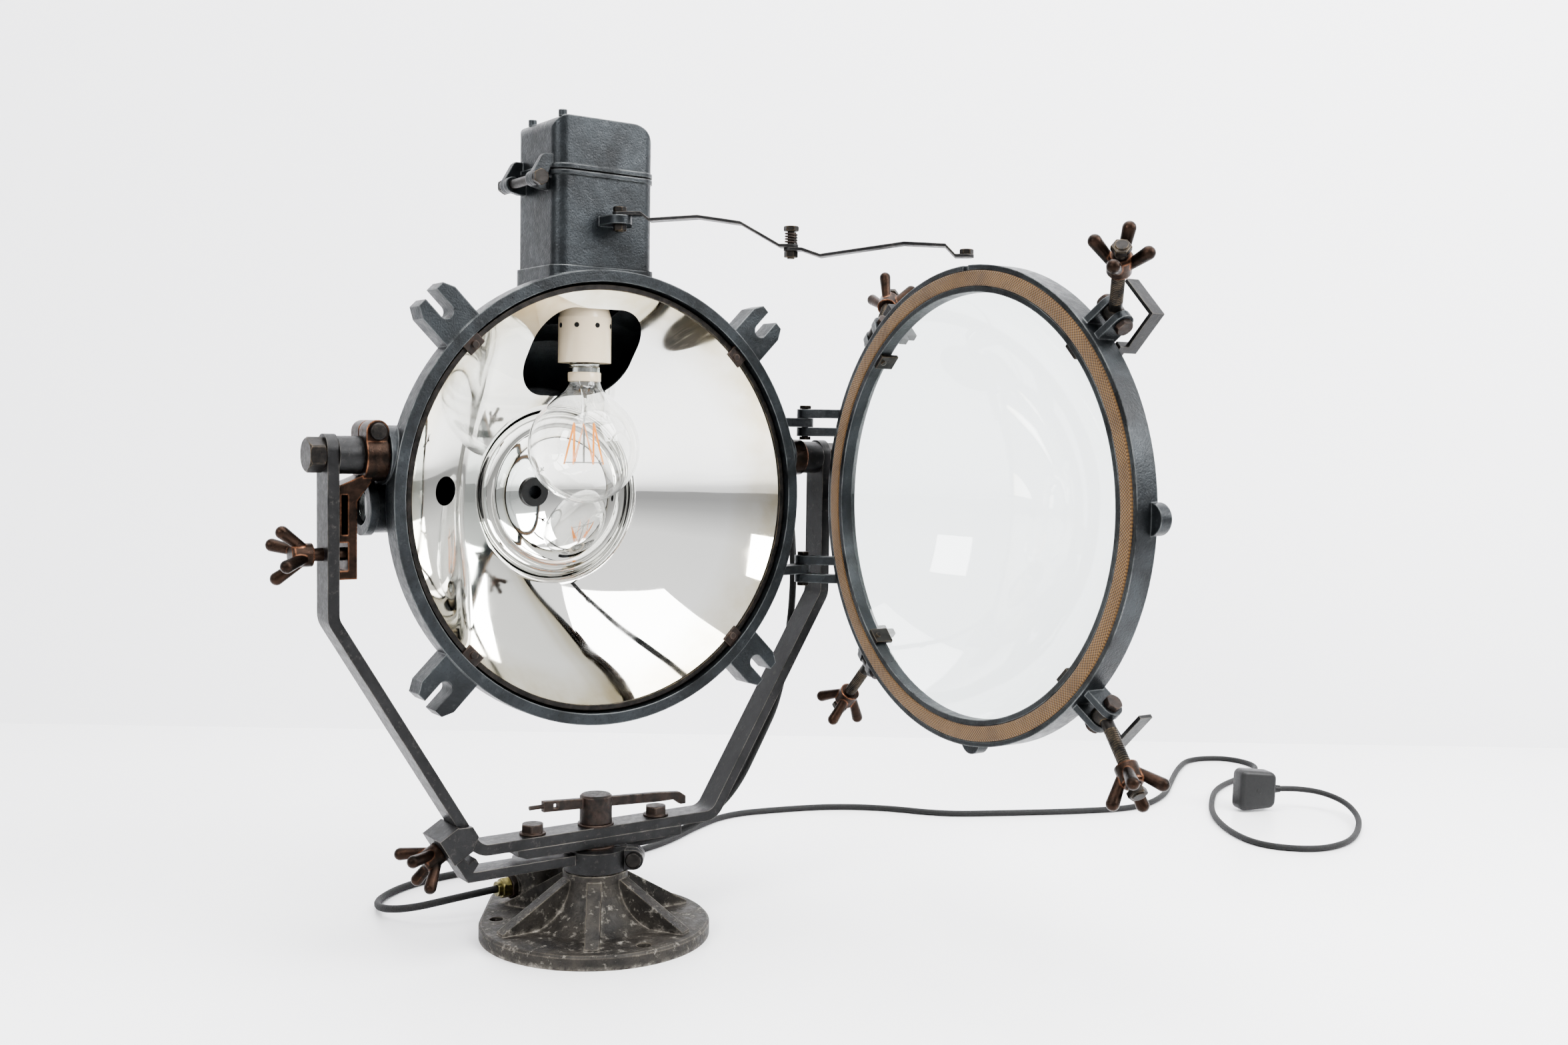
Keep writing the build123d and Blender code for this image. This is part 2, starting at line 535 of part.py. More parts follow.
keep("yoke_bar", yoke_bar())
keep("doubler_plate", doubler_plate())
post_washer = tube(cap_r + 1.5, post_r + run_gap, washer_t - 0.2, (0, 0, bar_z + bar_t))
keep("yoke_bolts", Compound([yoke_bolt(-1), yoke_bolt(1), post_washer]))
keep("pan_brake", pan_brake())
keep("tilt_brake", tilt_brake())
keep("right_bush", tube(bush_r, stub_r + run_gap, stub_x - trunnion_boss_x - 2 * seat_gap,
                        (trunnion_boss_x + seat_gap, 0, trunnion_z), (1, 0, 0)))
clamp_middle = (trunnion_boss_x + stub_x) / 2
pan_bolt = Rot(0, 0, ear_turn) * pinch_bolt((ear_out, 0, collar_z + collar_t / 2), ear_half)
keep("brake_bolts", Compound([pan_bolt, pinch_bolt((-clamp_middle, 0, trunnion_z + pinch_z), pinch_half)]))
keep("trunnion_spacers", Compound([trunnion_spacer(-1), trunnion_spacer(1)]))
keep("trunnion_bolts", Compound([trunnion_bolt(-1), trunnion_bolt(1)]))
tilt_shank = tilt_screw_out + bar_t + tilt_arm_t - 3
tilt_screw_frame = Plane(origin=(-arm_out - tilt_screw_out, 0, tilt_screw_z), x_dir=(0, 1, 0), z_dir=(-1, 0, 0))
keep("tilt_wing_screw", tilt_screw_frame * wing_screw(tilt_shank, tilt_screw_turn))
pan_hub = bar_t / 2 + brake_gap + brake_window + brake_t + 3.5
keep("pan_wing_screw", Plane(origin=pan_screw_at(pan_hub), z_dir=pan_axis) * wing_screw(pan_hub + bar_t / 2, 45))

# Pan lock: the cap nut with its tommy bar

lever_z = cap_z + 15.0


def pan_lock():
    cap = chamfer(rod(cap_r, cap_h, (0, 0, cap_z)).edges().group_by(Axis.Z)[-1], 1.5)
    lever = slab_xz([(-50, lever_z), (-50, lever_z + 9), (0, lever_z + 6), (60, lever_z + 3), (82, lever_z + 1),
                     (88, lever_z - 3), (88, lever_z - 10), (83, lever_z - 10), (76, lever_z - 5), (60, lever_z - 5),
                     (0, lever_z - 2)], -2.5, 2.5)
    lever -= block(-41, -36.5, -5, 5, lever_z + 2.2, lever_z + 6)
    lock = joined([cap, lever, rod(1.8, 13, (-49, 0, lever_z + 4.5), (-1, 0, 0))])
    return lock - rod(post_r + run_gap, cap_h - 4, (0, 0, cap_z))


keep("pan_lock", pan_lock())

# Head: the drum casting with the lamp box on its neck

drum_profile = [(rim_r, rim_front), (rim_r, rim_front + rim_depth), (rim_r - 12, -3), (rim_r - 18, 15),
                (rim_r - 28, 45), (rim_r - 48, 80), (back_r, 106), (back_r, back_y)]


def drum_inside():
    """The hollow of the drum, as a solid to cut away."""
    bore = rim_r - rim_wall
    walls = [(r - drum_wall - 0.5, y - drum_wall / 2) for r, y in drum_profile[2:7]]
    return spun([(0, rim_front - 1), (bore, rim_front - 1), (bore, rim_front + rim_depth - drum_wall), *walls,
                 (back_bore, 107), (back_bore, back_y + 1), (0, back_y + 1)], drum_z)


def fork_lug():
    """A forked lug on the +X side of the rim."""
    root = rim_r - 6
    face = make_face(Polyline((root, -lug_w / 2), (lug_tip_r - 9, -lug_w / 2), (lug_tip_r, -lug_w / 2 + 5),
                              (lug_tip_r, lug_w / 2 - 5), (lug_tip_r - 9, lug_w / 2), (root, lug_w / 2), close=True))
    face -= hull((bolt_circle, 0, lug_slot_w / 2), (bolt_circle + 40, 0, lug_slot_w / 2))
    lug = Plane(origin=(0, lug_y1, drum_z), x_dir=(1, 0, 0), z_dir=(0, -1, 0)) * extrude(face, lug_y1 - lug_y0)
    return lug


def around_drum(shape, degrees):
    """Turns a piece made on the +X side about the drum's axis, upwards for a positive angle."""
    return Pos(0, 0, drum_z) * Rot(0, -degrees, 0) * Pos(0, 0, -drum_z) * shape


def hinge_plate(z0, z1, *circles):
    """A flat hinge lug between two heights that wraps circles in plan."""
    return Pos(0, 0, z0) * extrude(hull(*circles), z1 - z0)


def drum_casting():
    outside = spun([(0, rim_front), *drum_profile, (0, back_y)], drum_z)
    neck = rounded_box(neck_w, neck_y0, neck_y1, 500, neck_top, 12)
    pieces = [outside, neck]
    for side in (-1, 1):
        pieces.append(rod(trunnion_boss_r, 30, (side * trunnion_boss_x, 0, trunnion_z), (-side, 0, 0)))
        pieces.append(rod(stub_r, stub_x - trunnion_boss_x + 1, (side * stub_x, 0, trunnion_z), (-side, 0, 0)))
    lug = fork_lug()
    pieces += [around_drum(lug, 45 + 90 * k) for k in range(4)]
    for side in (-1, 1):
        z = drum_z + side * hinge_half
        pieces.append(hinge_plate(z - knuckle_t / 2, z + knuckle_t / 2, (hinge_x, hinge_y, knuckle_r),
                                  (rim_r - 10, hinge_y - 6, knuckle_r)))
    pieces.append(rod(port_r, port_x - 150, (-port_x, port_y, port_z), (1, 0, 0)))
    pieces.append(rod(gland_pad_r, gland_face - 140, (140, gland_y, head_gland_z), (1, 0, 0)))
    body = joined(pieces) - drum_inside()
    for side in (-1, 1):
        body -= rod(trunnion_bolt_r + run_gap, stub_x, (side * trunnion_boss_x, 0, trunnion_z), (side, 0, 0))
    body -= rod(hinge_pin_r + run_gap, 4 * hinge_half, (hinge_x, hinge_y, drum_z - 2 * hinge_half))
    body -= rod(port_bore, port_x - 100, (-port_x - 1, port_y, port_z), (1, 0, 0))
    body -= rod(gland_bore, gland_face - 120, (121, gland_y, head_gland_z), (1, 0, 0))
    body -= rounded_box(neck_hole_w, neck_hole_y0, neck_hole_y1, 480, neck_top + 1, 10)
    return body


def back_cover():
    """The domed cover screwed to the back of the drum."""
    front = back_y + 0.1
    outer = spun([(0, front), (back_r, front), (back_r, front + 4), (back_bore - 3, front + 4), (84, back_depth),
                  (0, back_depth)], drum_z)
    return outer - spun([(0, front - 1), (back_bore - 9, front - 1), (back_bore - 9, front + 3),
                         (80, back_depth - 4), (0, back_depth - 4)], drum_z)


def round_screws(count, circle, radius, y, height):
    """Screw heads on a circle round the drum's axis."""
    heads = []
    for k in range(count):
        a = 2 * math.pi * k / count
        at = (circle * math.cos(a), y, drum_z + circle * math.sin(a))
        head = rod(radius, height, at, (0, 1, 0))
        heads.append(chamfer(head.edges().group_by(Axis.Y)[-1], 0.8))
    return heads


def box_shell(z0, z1, corner, wall=0.0):
    """The lamp box's outline between two heights, made smaller all round by a wall."""
    return rounded_box(box_w - 2 * wall, box_y0 + wall, box_y1 - wall, z0, z1, corner - wall)


def lid_hinge_lug(y0, y1, top):
    """A lug round the lid's hinge bolt, up to the lid or across to the box."""
    reach = [(lid_pin_x, lid_pin_z, 6.5), (-box_w / 2 - 5, top, 5)]
    lug = Plane(origin=(0, y1, 0), x_dir=(1, 0, 0), z_dir=(0, -1, 0)) * extrude(hull(*reach), y1 - y0)
    return lug


def lid_pin_bore():
    """The hole of the hinge bolt, through every lug of lid and box."""
    length = lid_lug_y1 - lid_lug_y0 + 20
    return rod(lid_pin_r + run_gap, length, (lid_pin_x, lid_lug_y0 - 8, lid_pin_z), (0, 1, 0))


def lamp_box():
    flange_top = box_seam - lid_gasket_t - soft_gap
    body = joined([box_shell(neck_top, flange_top, box_r), box_shell(flange_top - 3.5, flange_top, box_r + 2, -2)])
    body -= box_shell(neck_top + 4, flange_top + 1, box_r, box_wall)
    lugs = []
    front, back = lid_lug_y0 + lid_lug_w + soft_gap, lid_lug_y1 - lid_lug_w - soft_gap
    for y0, y1 in ((front, front + box_lug_w), (back - box_lug_w, back)):
        lug = lid_hinge_lug(y0, y1, lid_pin_z - 3)
        lugs.append(joined([lug, block(-box_w / 2 - 6, -box_w / 2 + 2, y0, y1, lid_pin_z - 8, lid_pin_z + 2)]))
    low = stay_bracket_top - stay_bracket_t
    bracket = hinge_plate(low, stay_bracket_top, (*stay_end, 10), (stay_bracket_x0 + 8, box_y0 - 4, 8),
                          (stay_bracket_x1 - 8, box_y0 - 4, 8))
    ledge = box_w / 2 - box_wall - 1
    ledges = [block(side * ledge - 2, side * ledge + 2, lamp_y - 10, lamp_y + 10, bridge_z - 8, bridge_z)
              for side in (-1, 1)]
    body = joined([body, *lugs, bracket, *ledges])
    body -= lid_pin_bore()
    body -= rod(stay_bolt_r + run_gap, 30, (*stay_end, low - 5))
    body -= rod(holder_r + 2, 20, (0, lamp_y, neck_top - 5))
    return body


def lid_outline(shrink):
    """The lid's outline in X and Z: one shoulder is much rounder than the other."""
    half, top = box_w / 2 - shrink, box_top - shrink
    small, large = box_r - shrink, lid_corner - shrink
    flat = Polyline((half, top - large), (half, box_seam), (-half, box_seam), (-half, top - small))
    left = RadiusArc((-half, top - small), (-half + small, top), small)
    right = RadiusArc((half - large, top), (half, top - large), large)
    return make_face([*flat.edges(), left, Line((-half + small, top), (half - large, top)), right])


def lid_block(shrink):
    prism = Plane(origin=(0, box_y1 + 5, 0), x_dir=(1, 0, 0), z_dir=(0, -1, 0)) * extrude(
        lid_outline(shrink), box_y1 - box_y0 + 10)
    return prism & box_shell(box_seam, box_top, box_r, shrink)


def box_lid():
    lid = joined([lid_block(0), box_shell(box_seam, box_seam + 3.5, box_r + 2, -2)])
    lid -= lid_block(4) + box_shell(box_seam - 1, box_seam + 5, box_r, 4)
    lugs = []
    for y0, y1 in ((lid_lug_y0, lid_lug_y0 + lid_lug_w), (lid_lug_y1 - lid_lug_w, lid_lug_y1)):
        web = block(-box_w / 2 - 7, -box_w / 2 + 2, y0, y1, box_seam + 1, box_seam + 11)
        lugs.append(joined([lid_hinge_lug(y0, y1, box_seam + 6), web]))
    nubs = [rod(3.5, 5, (-box_w / 2 + 8, y, box_top - 1)) for y in (-box_y0 - 14, box_y1 - 15)]
    lid = joined([lid, *lugs, *nubs])
    return lid - lid_pin_bore()


def lid_pin():
    front, back = lid_lug_y0 - seat_gap, lid_lug_y1 + seat_gap
    shank = rod(lid_pin_r, back - front + 0.8, (lid_pin_x, front - 0.4, lid_pin_z), (0, 1, 0))
    return joined([shank, hexagon(12, 5, (lid_pin_x, front, lid_pin_z), (0, -1, 0)),
                   hexagon(12, 5, (lid_pin_x, back, lid_pin_z), (0, 1, 0))])


keep("drum_casting", drum_casting())
cover_screw_circle = (back_r + back_bore) / 2
keep("back_cover", Compound([back_cover(), *round_screws(6, cover_screw_circle, 3.5, back_y + 4.1, 2.6)]))
keep("lamp_box", lamp_box())
keep("box_lid", box_lid())
keep("lid_pin", lid_pin())
keep("lid_gasket", box_shell(box_seam - lid_gasket_t, box_seam - soft_gap, box_r, 0.3) -
     box_shell(box_seam - 5, box_seam + 5, box_r, box_wall - 0.3))
keep("head_gland", gland((gland_face, gland_y, head_gland_z), (1, 0, 0)))
keep("sight_bezel", rod(port_r + 2, bezel_x - port_x, (-port_x, port_y, port_z), (-1, 0, 0)) -
     rod(port_bore, 20, (-port_x + 5, port_y, port_z), (-1, 0, 0)) -
     rod(port_bore + 3, 3.2, (-port_x + 0.1, port_y, port_z), (-1, 0, 0)))
keep("sight_glass", rod(port_bore + 2.8, 2.8, (-port_x - 0.1, port_y, port_z), (-1, 0, 0)))

# Reflector and lamp


def mirror_curve(offset):
    """The reflector's section from its edge to its middle: a parabola, then a deeper bowl."""
    points = []
    for k in range(9):
        r = mirror_r + (bowl_r - mirror_r) * k / 8
        slope = 2 * mirror_k * r
        n = math.hypot(1, slope)
        points.append((r + offset * slope / n, mirror_vertex - mirror_k * r * r + offset / n))
    bowl_y = mirror_vertex - mirror_k * bowl_r ** 2
    depth = bowl_back - bowl_y
    deep = []
    for k in range(1, 9):
        a = math.radians(90 * k / 8)
        r, y = bowl_r * math.cos(a), bowl_y + depth * math.sin(a)
        nr, ny = math.cos(a) / bowl_r, math.sin(a) / depth
        n = math.hypot(nr, ny)
        deep.append((r + offset * nr / n, y + offset * ny / n))
    deep[-1] = (0, bowl_back + offset)
    return points, [points[-1], *deep]


def reflector():
    inner, inner_bowl = mirror_curve(0)
    outer, outer_bowl = mirror_curve(mirror_t)
    edges = [Spline(*inner), Spline(*inner_bowl), Line(inner_bowl[-1], outer_bowl[-1]), Spline(*outer_bowl),
             Spline(*outer), Line(outer[0], inner[0])]
    shell = Pos(0, 0, drum_z) * revolve(make_face(edges), Axis.Y)
    window = Pos(0, (cutout_z0 + cutout_z1) / 2) * RectangleRounded(2 * cutout_half, cutout_z1 - cutout_z0,
                                                                   cutout_corner)
    shell -= Plane(origin=(0, 90, drum_z), x_dir=(1, 0, 0), z_dir=(0, -1, 0)) * extrude(window, 140)
    shell -= rod(side_hole_r, 100, (-60, side_hole_y, side_hole_z), (-1, 0, 0))
    return shell - rod(grommet_r - 3, 40, (0, bowl_back - 20, drum_z), (0, 1, 0))


def reflector_clip():
    """A small clip on the +X side that holds the reflector's ring to the rim."""
    bore = rim_r - rim_wall
    plate = block(mirror_ring_r0 - 4, bore - 0.3, mirror_ring_y0 - 2, mirror_ring_y0, drum_z - 8, drum_z + 8)
    foot = block(mirror_ring_r1 + 0.3, bore - 0.3, mirror_ring_y0 - 1, mirror_ring_y0 + 8, drum_z - 8, drum_z + 8)
    screw = rod(3, 2, (mirror_ring_r0, mirror_ring_y0 - 2, drum_z), (0, -1, 0))
    return joined([plate, foot, screw])


def bulb_solid(shrink):
    """The globe and its neck as a solid, made smaller all round."""
    r = globe_r - shrink
    s = r * math.sqrt(0.5)
    neck = bulb_cap_r - shrink
    top = bulb_cap_z0 - globe_z
    ball = ThreePointArc((0, -r), (r, 0), (s, s))
    shoulder = Spline((s, s), (neck, top - 2), tangents=[(-1, 1), (0, 1)])
    rest = Polyline((neck, top - 2), (neck, top), (0, top), (0, -r))
    face = make_face([ball, shoulder, *rest.edges()])
    return Pos(0, lamp_y, globe_z) * revolve(Plane.XZ * face, Axis.Z)


def filament():
    """The glass stem with its support wires and the filament strung between them."""
    stem = rod(4, 34, (0, lamp_y, bulb_cap_z0 - 34))
    low, high, count = globe_z - 14, globe_z + 22, 8
    corners = []
    for k in range(2 * count):
        a = math.pi * k / count
        r, z = (17, low) if k % 2 else (10, high)
        corners.append(Vector(r * math.cos(a), lamp_y + r * math.sin(a), z))
    wires = []
    for p, q in zip(corners, corners[1:]):
        wires.append(rod(0.5, (q - p).length, tuple(p), tuple((q - p).normalized())))
        wires.append(Pos(p) * Sphere(0.7))
    spokes = [rod(0.5, 10, (0, lamp_y, high), tuple(Vector(math.cos(a), math.sin(a), 0)))
              for a in (math.pi * k / 2 for k in range(4))]
    post_wire = rod(1.5, bulb_cap_z0 - 34 - high + 3, (0, lamp_y, high - 1))
    return joined([stem, post_wire, *spokes, *wires])


def lamp_holder():
    profile = Polyline((bulb_cap_r + 0.4, holder_bottom), (holder_r, holder_bottom), (holder_r, holder_bottom + 38),
                       (holder_r - 6, holder_top), (0, holder_top), (0, bulb_cap_z1 + 1),
                       (bulb_cap_r + 0.4, bulb_cap_z1 + 1), close=True)
    return Pos(0, lamp_y, 0) * revolve(Plane.XZ * make_face(profile), Axis.Z)


def holder_bridge():
    bar = block(-box_w / 2 + box_wall + 1, box_w / 2 - box_wall - 1, lamp_y - 9, lamp_y + 9, bridge_z,
                bridge_z + bridge_t)
    return joined([bar, rod(6, bridge_z - holder_top + 1, (0, lamp_y, holder_top)),
                   hexagon(16, 6, (0, lamp_y, bridge_z + bridge_t))])


def bulb_base():
    body = rod(bulb_cap_r, bulb_cap_z1 - bulb_cap_z0 - 3, (0, lamp_y, bulb_cap_z0))
    return joined([body, rod(5, 3, (0, lamp_y, bulb_cap_z1 - 3))])


keep("reflector", reflector())
keep("reflector_ring", spun([(mirror_ring_r0, mirror_ring_y0), (mirror_ring_r1, mirror_ring_y0),
                             (mirror_ring_r1, mirror_ring_y1), (mirror_ring_r0, mirror_ring_y1)], drum_z))
keep("reflector_clips", Compound([around_drum(reflector_clip(), 45 + 90 * k) for k in range(4)]))
keep("reflector_grommet", tube(grommet_r, grommet_r - 7, 2.5, (0, bowl_back - 3.4, drum_z), (0, 1, 0)))
keep("bulb_glass", bulb_solid(0) - bulb_solid(globe_t))
keep("bulb_base", bulb_base())
keep("bulb_filament", filament())
keep("lamp_holder", lamp_holder())
keep("holder_bridge", holder_bridge())

# Door, modelled closed and then turned open


def door_ring():
    face, front = door_face, door_face - door_depth
    ring = spun([(door_r, face), (gasket_r1, face), (gasket_r1, face - gasket_t), (gasket_r0, face - gasket_t),
                 (gasket_r0, face), (door_bore, face), (door_bore, face - door_plate_t),
                 (door_skirt, face - door_plate_t), (door_skirt, front), (door_r - 2, front),
                 (door_r, front + 2)], drum_z)
    pieces = []
    for side in (-1, 1):
        middle = drum_z + side * hinge_half
        for up in (-1, 1):
            z = middle + up * (knuckle_t + seat_gap)
            circles = [(hinge_x, hinge_y, knuckle_r)]
            for along, behind, radius in (strap_bend, strap_foot, strap_root):
                circles.append((hinge_x - along, hinge_y + behind, radius))
            for first, second in zip(circles, circles[1:]):
                pieces.append(hinge_plate(z - knuckle_t / 2, z + knuckle_t / 2, first, second))
    boss_y = pivot_y + 5
    pieces.append(rod(door_boss_r, boss_y - front + 2, (-door_boss_at, boss_y, drum_z), (0, -1, 0)))
    pieces.append(rod(door_boss_r, boss_y - front + 2, (0, boss_y, drum_z - door_boss_at), (0, -1, 0)))
    pieces.append(rod(door_boss_r, boss_y - front, (door_boss_at, boss_y, drum_z), (0, -1, 0)))
    x, y = stay_end
    pieces.append(hinge_plate(door_stay_z - stay_lug_t, door_stay_z - 0.2, (x, y, 9), (x, y - 13, 9)))
    for sx, sz in swing_sides.values():
        pieces += [around_drum(ear, math.degrees(math.atan2(sz, sx))) for ear in swing_ears()]
    door = grown(ring, pieces)
    door -= spun([(gasket_r0, face - gasket_t), (gasket_r1, face - gasket_t), (gasket_r1, face + 8),
                  (gasket_r0, face + 8)], drum_z)
    door -= rod(door_skirt, 2 * door_depth, (0, face - door_plate_t, drum_z), (0, -1, 0))
    door -= rod(hinge_pin_r + run_gap, 4 * hinge_half, (hinge_x, hinge_y, drum_z - 2 * hinge_half))
    door -= rod(stay_bolt_r + run_gap, 30, (x, y, door_stay_z - 20))
    return door


def swing_ears():
    """The two ears of a swing bolt on the +X side, each with the bore of its pivot pin."""
    front = door_face - door_depth
    ears = []
    for side in (-1, 1):
        middle = side * (ear_inner + ear_t / 2)
        face = hull((bolt_circle, pivot_y, ear_r), (door_r - 4, front + 9, 9))
        ear = Pos(0, 0, drum_z + middle - ear_t / 2) * extrude(face, ear_t)
        bore = rod(pivot_pin_r + run_gap, 4 * ear_t, (bolt_circle, pivot_y, drum_z + middle - 2 * ear_t))
        ears.append(ear - bore)
    return ears


def door_gasket():
    r0, r1 = gasket_r0 + soft_gap, gasket_r1 - soft_gap
    y0, y1 = door_face - gasket_t + soft_gap, door_face + gasket_proud
    ring = spun([(r0, y0), (r1, y0), (r1, y1), (r0, y1)], drum_z)
    return fillet(ring.edges().group_by(Axis.Y)[-1], 1.2)


def dome():
    """The domed glass: a slice of a thick ball."""
    edge_y = door_face - door_plate_t - soft_gap
    centre = edge_y + math.sqrt(glass_ball ** 2 - glass_r ** 2)
    shell = Pos(0, centre, drum_z) * (Sphere(glass_ball) - Sphere(glass_ball - glass_t))
    return shell & rod(glass_r, glass_ball, (0, edge_y, drum_z), (0, -1, 0))


def glass_clip():
    """A flat clip on the +X side, in the bore of the plate, that bears on the inside of the glass."""
    out = door_bore - soft_gap / 2 - 0.05
    centre = door_face - door_plate_t - soft_gap + math.sqrt(glass_ball ** 2 - glass_r ** 2)
    reach = centre - math.sqrt((glass_ball - glass_t - soft_gap) ** 2 - out ** 2)
    leg = block(out - clip_t, out, reach, door_face - 1, drum_z - clip_half, drum_z + clip_half)
    screw = rod(2.2, 1.2, (out - clip_t, door_face - door_plate_t / 2, drum_z), (-1, 0, 0))
    return joined([leg, screw])


def hinge_pin(side):
    """A pin with a hexagon at each end, through one stack of hinge lugs."""
    middle = drum_z + side * hinge_half
    half = 1.5 * knuckle_t + seat_gap + 0.3
    shank = rod(hinge_pin_r, 2 * half + 2, (hinge_x, hinge_y, middle - half - 1))
    return joined([shank, hexagon(10, 3, (hinge_x, hinge_y, middle + half)),
                   hexagon(10, 3, (hinge_x, hinge_y, middle - half), (0, 0, -1))])


keep("door_ring", opened(door_ring()))
keep("door_gasket", opened(door_gasket()))
keep("door_glass", opened(dome()))
keep("glass_clips", opened(Compound([around_drum(glass_clip(), 45 + 90 * k) for k in range(4)])))
keep("hinge_pins", Compound([hinge_pin(-1), hinge_pin(1)]))

# Swing bolts on the door's rim


def swing_plane(key):
    """The frame of a swing bolt on the closed door: Z along the bolt and X along its pivot pin."""
    sx, sz = swing_sides[key]
    lean = math.radians(swing_leans[key])
    outward = Vector(sx, 0, sz).normalized()
    way = outward * math.cos(lean) + Vector(0, 1, 0) * math.sin(lean)
    across = outward.cross(Vector(0, 1, 0))
    return Plane(origin=Vector(0, pivot_y, drum_z) + outward * bolt_circle, x_dir=across, z_dir=way)


def swing_bolt():
    """An eye bolt that stands along Z with its eye at the origin, and the nut that keeps its wings on."""
    eye = rod(eye_r, eye_w, (-eye_w / 2, 0, 0), (1, 0, 0))
    shank = rod(swing_r, swing_length - 3, (0, 0, 3))
    nut = hexagon(end_nut_af, end_nut_h, (0, 0, swing_length - end_nut_h - 1))
    bolt = joined([eye, shank, nut])
    return bolt - rod(pivot_pin_r + run_gap, 3 * eye_w, (-1.5 * eye_w, 0, 0), (1, 0, 0))


def swing_pin():
    """The pin of a swing bolt with a hexagon head at each end."""
    half = ear_inner + ear_t + 0.2
    return joined([rod(pivot_pin_r, 2 * half + 2, (-half - 1, 0, 0), (1, 0, 0)),
                   hexagon(12, 4.5, (half, 0, 0), (1, 0, 0)), hexagon(12, 4.5, (-half, 0, 0), (-1, 0, 0))])


def bolt_guard(key):
    """The bent strap beside a swing bolt on the +X side: full width on the two far bolts, short near the hinge."""
    full = swing_sides[key][0] < 0
    inner = -guard_side if full else 7.0
    leg = block(guard_r0, guard_r1, guard_y0, guard_y1, drum_z + guard_side - guard_t, drum_z + guard_side)
    cross = block(guard_r1 - guard_t, guard_r1, guard_y0, guard_y1, drum_z + inner, drum_z + guard_side)
    foot = block(guard_r0 - 9, guard_r0 + 3, guard_y0, door_face - door_depth - 0.05, drum_z + guard_side - 6,
                 drum_z + guard_side)
    foot -= block(guard_r0 - 10, guard_r0 - 3, guard_y0 - 1, guard_y1, drum_z, drum_z + guard_side + 1)
    return joined([leg, cross, foot])


bolt, pin, nut = swing_bolt(), swing_pin(), wing_nut(swing_r + run_gap)
pins, guards = [], []
for key, (sx, sz) in swing_sides.items():
    plane = swing_plane(key)
    keep(f"swing_bolt_{key}", opened(plane * bolt))
    keep(f"wing_nut_{key}", opened(plane * Pos(0, 0, nut_at) * nut))
    pins.append(opened(plane * pin))
    guards.append(opened(around_drum(bolt_guard(key), math.degrees(math.atan2(sz, sx)))))
keep("swing_pins", Compound(pins))
keep("bolt_guards", Compound(guards))

# Stay: two links between the lamp box and the door, straight when the door is open

stay_a = Vector(*stay_end, 0)
hinge_axis = Vector(hinge_x, hinge_y, 0)
stay_b = hinge_axis + (stay_a - hinge_axis).rotate(Axis.Z, door_open)
stay_heading = math.degrees(math.atan2(stay_b.Y - stay_a.Y, stay_b.X - stay_a.X))


def stay_link(folds):
    """A flat bar along +X from a pivot at the origin to the middle joint, bent up and down along its folds."""
    run = [*folds, (stay_length + stay_w / 2, folds[-1][1])]
    upper = [(x, z + stay_t / 2) for x, z in run]
    lower = [(x, z - stay_t / 2) for x, z in reversed(run)]
    bar = slab_xz(upper + lower, -stay_w / 2, stay_w / 2)
    plan = Pos(0, 0, 500) * extrude(hull((0, 0, stay_w / 2), (stay_length, 0, stay_w / 2)), 200)
    bar = bar & plan
    for x in (0, stay_length):
        bar -= rod(stay_bolt_r + run_gap, 200, (x, 0, 500))
    return bar


def at_stay(shape, pivot, heading):
    """Moves a piece made at the origin along +X to a pivot of the stay."""
    return Pos(pivot.X, pivot.Y, 0) * Rot(0, 0, heading) * shape


def stay_bolt_box():
    low, high = stay_bracket_top - stay_bracket_t, stay_folds_a[0][1] + stay_t / 2 + 0.2
    return joined([rod(stay_bolt_r, high - low + 8, (0, 0, low - 6)), hexagon(stay_af, stay_head_h, (0, 0, high)),
                   hexagon(stay_af, 5, (0, 0, low - 0.2), (0, 0, -1))])


def stay_bolt_middle():
    low = stay_folds_b[-1][1] - stay_t / 2 - 0.2
    high = stay_folds_a[-1][1] + stay_t / 2 + spring_room
    return joined([rod(stay_bolt_r, high - low + 6, (0, 0, low - 6)), hexagon(stay_af + 1, stay_head_h, (0, 0, high)),
                   hexagon(stay_af, 5, (0, 0, low), (0, 0, -1))])


def stay_bolt_door():
    seat = stay_folds_b[0][1] + stay_t / 2 + 0.2
    return joined([rod(stay_bolt_r, seat - door_stay_z - 0.1 + 2, (0, 0, door_stay_z + 0.1)),
                   hexagon(stay_af, stay_head_h, (0, 0, seat))])


spring_room = spring_turns * spring_pitch + spring_wire + 0.6


def spring():
    """The coil spring on the middle bolt, swept along quarter-turn arcs that climb evenly."""
    bottom = stay_folds_a[-1][1] + stay_t / 2 + 0.3 + spring_wire / 2
    steps = spring_turns * 4
    arcs = []
    climb = spring_pitch / 4
    for k in range(steps):
        a0, a1 = math.radians(90 * k), math.radians(90 * (k + 1))
        am = (a0 + a1) / 2
        points = [(spring_coil_r * math.cos(a), spring_coil_r * math.sin(a), bottom + climb * (k + f))
                  for a, f in ((a0, 0), (am, 0.5), (a1, 1))]
        arcs.append(ThreePointArc(*points))
    path = Wire(arcs)
    coil = sweep(Plane(origin=path @ 0, z_dir=path % 0) * Circle(spring_wire / 2), path=path)
    print("spring least gap between turns", round(spring_pitch - spring_wire, 2), "volume ratio",
          round(coil.volume / (math.pi * spring_wire ** 2 / 4 * path.length), 4))
    return coil


